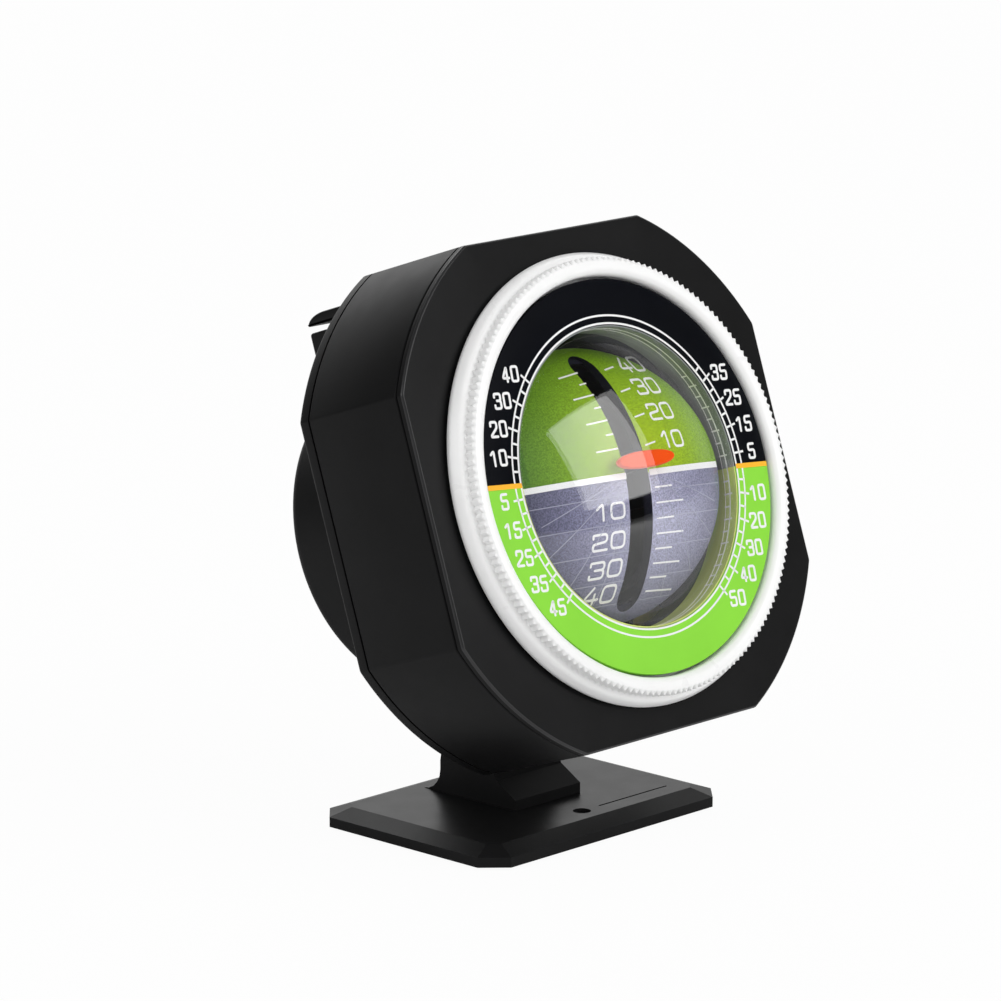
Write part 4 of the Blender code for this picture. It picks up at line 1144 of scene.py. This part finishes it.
horizon_print, pitch_print, grid_print = bmesh.new(), bmesh.new(), bmesh.new()
both_sides(horizon_print, 0.0, 0.05, 0.1, 0.62)
for degrees in range(10, 45, 5):
    pitch_tick(0.01 * degrees - 1.95, -2.95 if degrees % 10 == 0 else -1.0, degrees, 0.18 * degrees, -0.28)
for degrees in range(5, 45, 5):
    pitch_tick(2.15, 4.4 if degrees % 10 == 0 else 2.7, -degrees, -0.07 * degrees)
for degrees in (10, 20, 30, 40):
    pitch_tick(2.05 + 0.008 * degrees, 1.7, degrees, 8.6, -0.35)
    upper = (6.45 + 0.012 * degrees, pitch_height(degrees) - 0.02)
    ink_number(pitch_print, degrees, upper, on_dial, WIDE_FIGURES, 1.62, 1.62, 0.58, 0.26, 0.48)
    lower = (-4.6, pitch_height(-degrees) + 0.018 * (degrees - 20))
    ink_number(pitch_print, degrees, lower, on_dial, WIDE_FIGURES, 1.75, 1.5, 0.6, 0.25, 0.5)

grid_width, grid_gap = 0.075, 0.1
for v in (-1.9, -4.6, -7.4, -10.2, -12.3):
    both_sides(grid_print, v, grid_gap, 0.25, grid_width)
for spread in (-5.2, -2.6, -1.25, -0.45, 0.45, 1.25, 2.6, 5.2):
    line = []
    for k in range(30):
        v = -0.5 - 13.4 * k / 29
        u = spread * -v * 0.55 + math.copysign(2.0, spread)
        if slot_half + grid_gap < abs(u) < chord(v):
            line.append((u, v))
    if len(line) > 1:
        ink_line(grid_print, line, grid_width, on_dial)
for name, bm, ink in (
    ("horizon_print", horizon_print, ink_bright), ("pitch_print", pitch_print, ink_bright),
    ("grid_print", grid_print, ink_faint),
):
    piece(name, bm, "roll_pendulum", ink)
print("inner dial printed")

# %% [markdown]
# The pointer is a flat orange leaf that swings in front of the slot on a thin black arm. An ellipse
# would be too pointed, so its outline is a superellipse, which is fuller at its ends. Its edges are
# rounded like those of any small moulding.

# %% Pointer
pointer_long, pointer_tall = 3.95, 0.86
pointer_outline = []
for k in range(72):
    c, s = circle_point((0, 0), 1.0, 5 * k)
    u, v = pointer_long * abs(c) ** 0.80, pointer_tall * abs(s) ** 0.90
    pointer_outline.append((math.copysign(u, c), math.copysign(v, s)))
leaf = extruded(pointer_outline, -19.9, -19.0, "Y", 0.25, 4)
piece("orange_pointer", leaf, "pitch_pendulum", pointer_orange, ("pointer",))
print("pointer corners:", len(pointer_outline))

# %% [markdown]
# The works inside are only glimpsed through the slot. They could be drawn anew with softer edges, which
# nobody would see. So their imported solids, which have the right shapes, stay and get real finishes.

# %% Works inside
inner_finishes = {
    "roll_frame pitch_arm": inner_black,
    "ring_retainer": black_plastic,
    "roll_weight bearing_bush pitch_weight_left pitch_weight_right": brass,
    "roll_axle axle_clip weight_screw dial_screw_left dial_screw_right pitch_pin": steel,
}
for names, material in inner_finishes.items():
    for name in names.split():
        soften(name, material)
print("inner solids kept:", sum(len(names.split()) for names in inner_finishes))

# %% [markdown]
# The photograph's camera stands a little to the left and above, with a long lens. Its place could be
# guessed by eye, but it was found by fitting the case's edges, so the render lines up with the
# photograph. The small shifts bring the object to the same spot in the picture.

# %% Camera
view_turn = math.radians(46.35)
camera_data = bpy.data.cameras.new("camera")
camera_data.sensor_width, camera_data.lens = 36.0, 184.26
camera_data.shift_x, camera_data.shift_y = -0.0086, 0.0294
camera_data.clip_start, camera_data.clip_end = 0.01, 20.0
camera = bpy.data.objects.new("camera", camera_data)
bpy.context.scene.collection.objects.link(camera)
camera.location = (-0.3723, -0.3533, 0.14895)
camera.rotation_euler = (math.radians(90 - 12.994), 0.0, -view_turn)
bpy.context.scene.camera = camera
print("camera lens, mm:", camera_data.lens)

# %% [markdown]
# A plain pale floor, and a world that looks white to the camera. More light would make a backdrop white
# too, but it would also bleach the object. So the white comes from Light Path: only camera rays see it.
# Rough surfaces get an even fill from the world, and mirrors see it white only behind the object and dim
# elsewhere, as in a studio with a white backdrop.

# %% Floor and world
floor_mesh = bpy.data.meshes.new("floor")
floor_mesh.from_pydata([(x, y, 0) for x, y in rectangle(-3.0, -3.0)], [], [(0, 1, 2, 3)])
floor = bpy.data.objects.new("floor", floor_mesh)
bpy.context.scene.collection.objects.link(floor)
floor_paper = finish("floor_paper", (0.82, 0.82, 0.82), 0.9, specular=0.1)
glow = node(floor_paper, "ShaderNodeEmission", {"Strength": 1.0}).outputs["Emission"]
for_camera = node(floor_paper, "ShaderNodeLightPath").outputs["Is Camera Ray"]
amount = computed(floor_paper, "MULTIPLY", for_camera, 0.96)
show_mix(floor_paper, amount, shader_of(floor_paper).outputs["BSDF"], glow)
floor_mesh.materials.append(floor_paper)

world = bpy.data.worlds.new("studio")
bpy.context.scene.world = world
world.use_nodes = True
sky = world.node_tree.nodes["Background"]
sky.inputs["Color"].default_value = (1.0, 1.0, 1.0, 1.0)
fill_level, room_level = 0.42, 0.04
rays = node(world, "ShaderNodeLightPath").outputs
view_way = Vector((math.sin(view_turn), math.cos(view_turn), 0.0))
feed = {0: node(world, "ShaderNodeTexCoord").outputs["Generated"], 1: view_way}
sight = node(world, "ShaderNodeVectorMath", feed, operation="DOT_PRODUCT").outputs["Value"]
feed = {"Value": sight, "From Min": 0.35, "From Max": 0.85, "To Min": room_level, "To Max": 1.0}
backdrop = node(world, "ShaderNodeMapRange", feed, interpolation_type="SMOOTHSTEP").outputs["Result"]
sharp = computed(world, "MAXIMUM", rays["Is Glossy Ray"], rays["Is Transmission Ray"])
mirrored = computed(world, "MULTIPLY", sharp, backdrop)
rough = computed(world, "MULTIPLY", computed(world, "SUBTRACT", 1.0, sharp), fill_level)
light = computed(world, "ADD", mirrored, rough)
plug(world, computed(world, "MAXIMUM", rays["Is Camera Ray"], light), sky.inputs["Strength"])
print("world nodes:", len(world.node_tree.nodes))

# %% [markdown]
# A large softbox stands in front of the dial and above it. Its mirror image is the pale patch on the
# dome. A second, weaker one lights the left side of the case, and a third the back. Small lamps would
# be simpler, but their hard shadows and tiny highlights don't look like a product photograph.

# %% Lamps
def softbox(name, spot, side, power):
    """A square lamp that looks at the object's middle."""
    lamp = bpy.data.lights.new(name, "AREA")
    lamp.shape, lamp.size, lamp.size_y, lamp.energy = "RECTANGLE", side, side, power
    stand = bpy.data.objects.new(name, lamp)
    bpy.context.scene.collection.objects.link(stand)
    stand.location = spot
    stand.rotation_euler = (Vector((0.0, 0.0, 0.035)) - Vector(spot)).to_track_quat("-Z", "Y").to_euler()


softbox("front_softbox", (0.17, -0.62, 0.42), 0.62, 3.6)
softbox("left_softbox", (-0.75, 0.10, 0.45), 0.5, 2.0)
softbox("rear_softbox", (0.5, 0.7, 0.6), 0.6, 2.0)
print("lamps:", len(bpy.data.lights))

# %% Finish
bpy.context.scene.view_settings.view_transform = "Standard"
bpy.context.view_layer.update()
print("pieces made:", len(pieces_made))
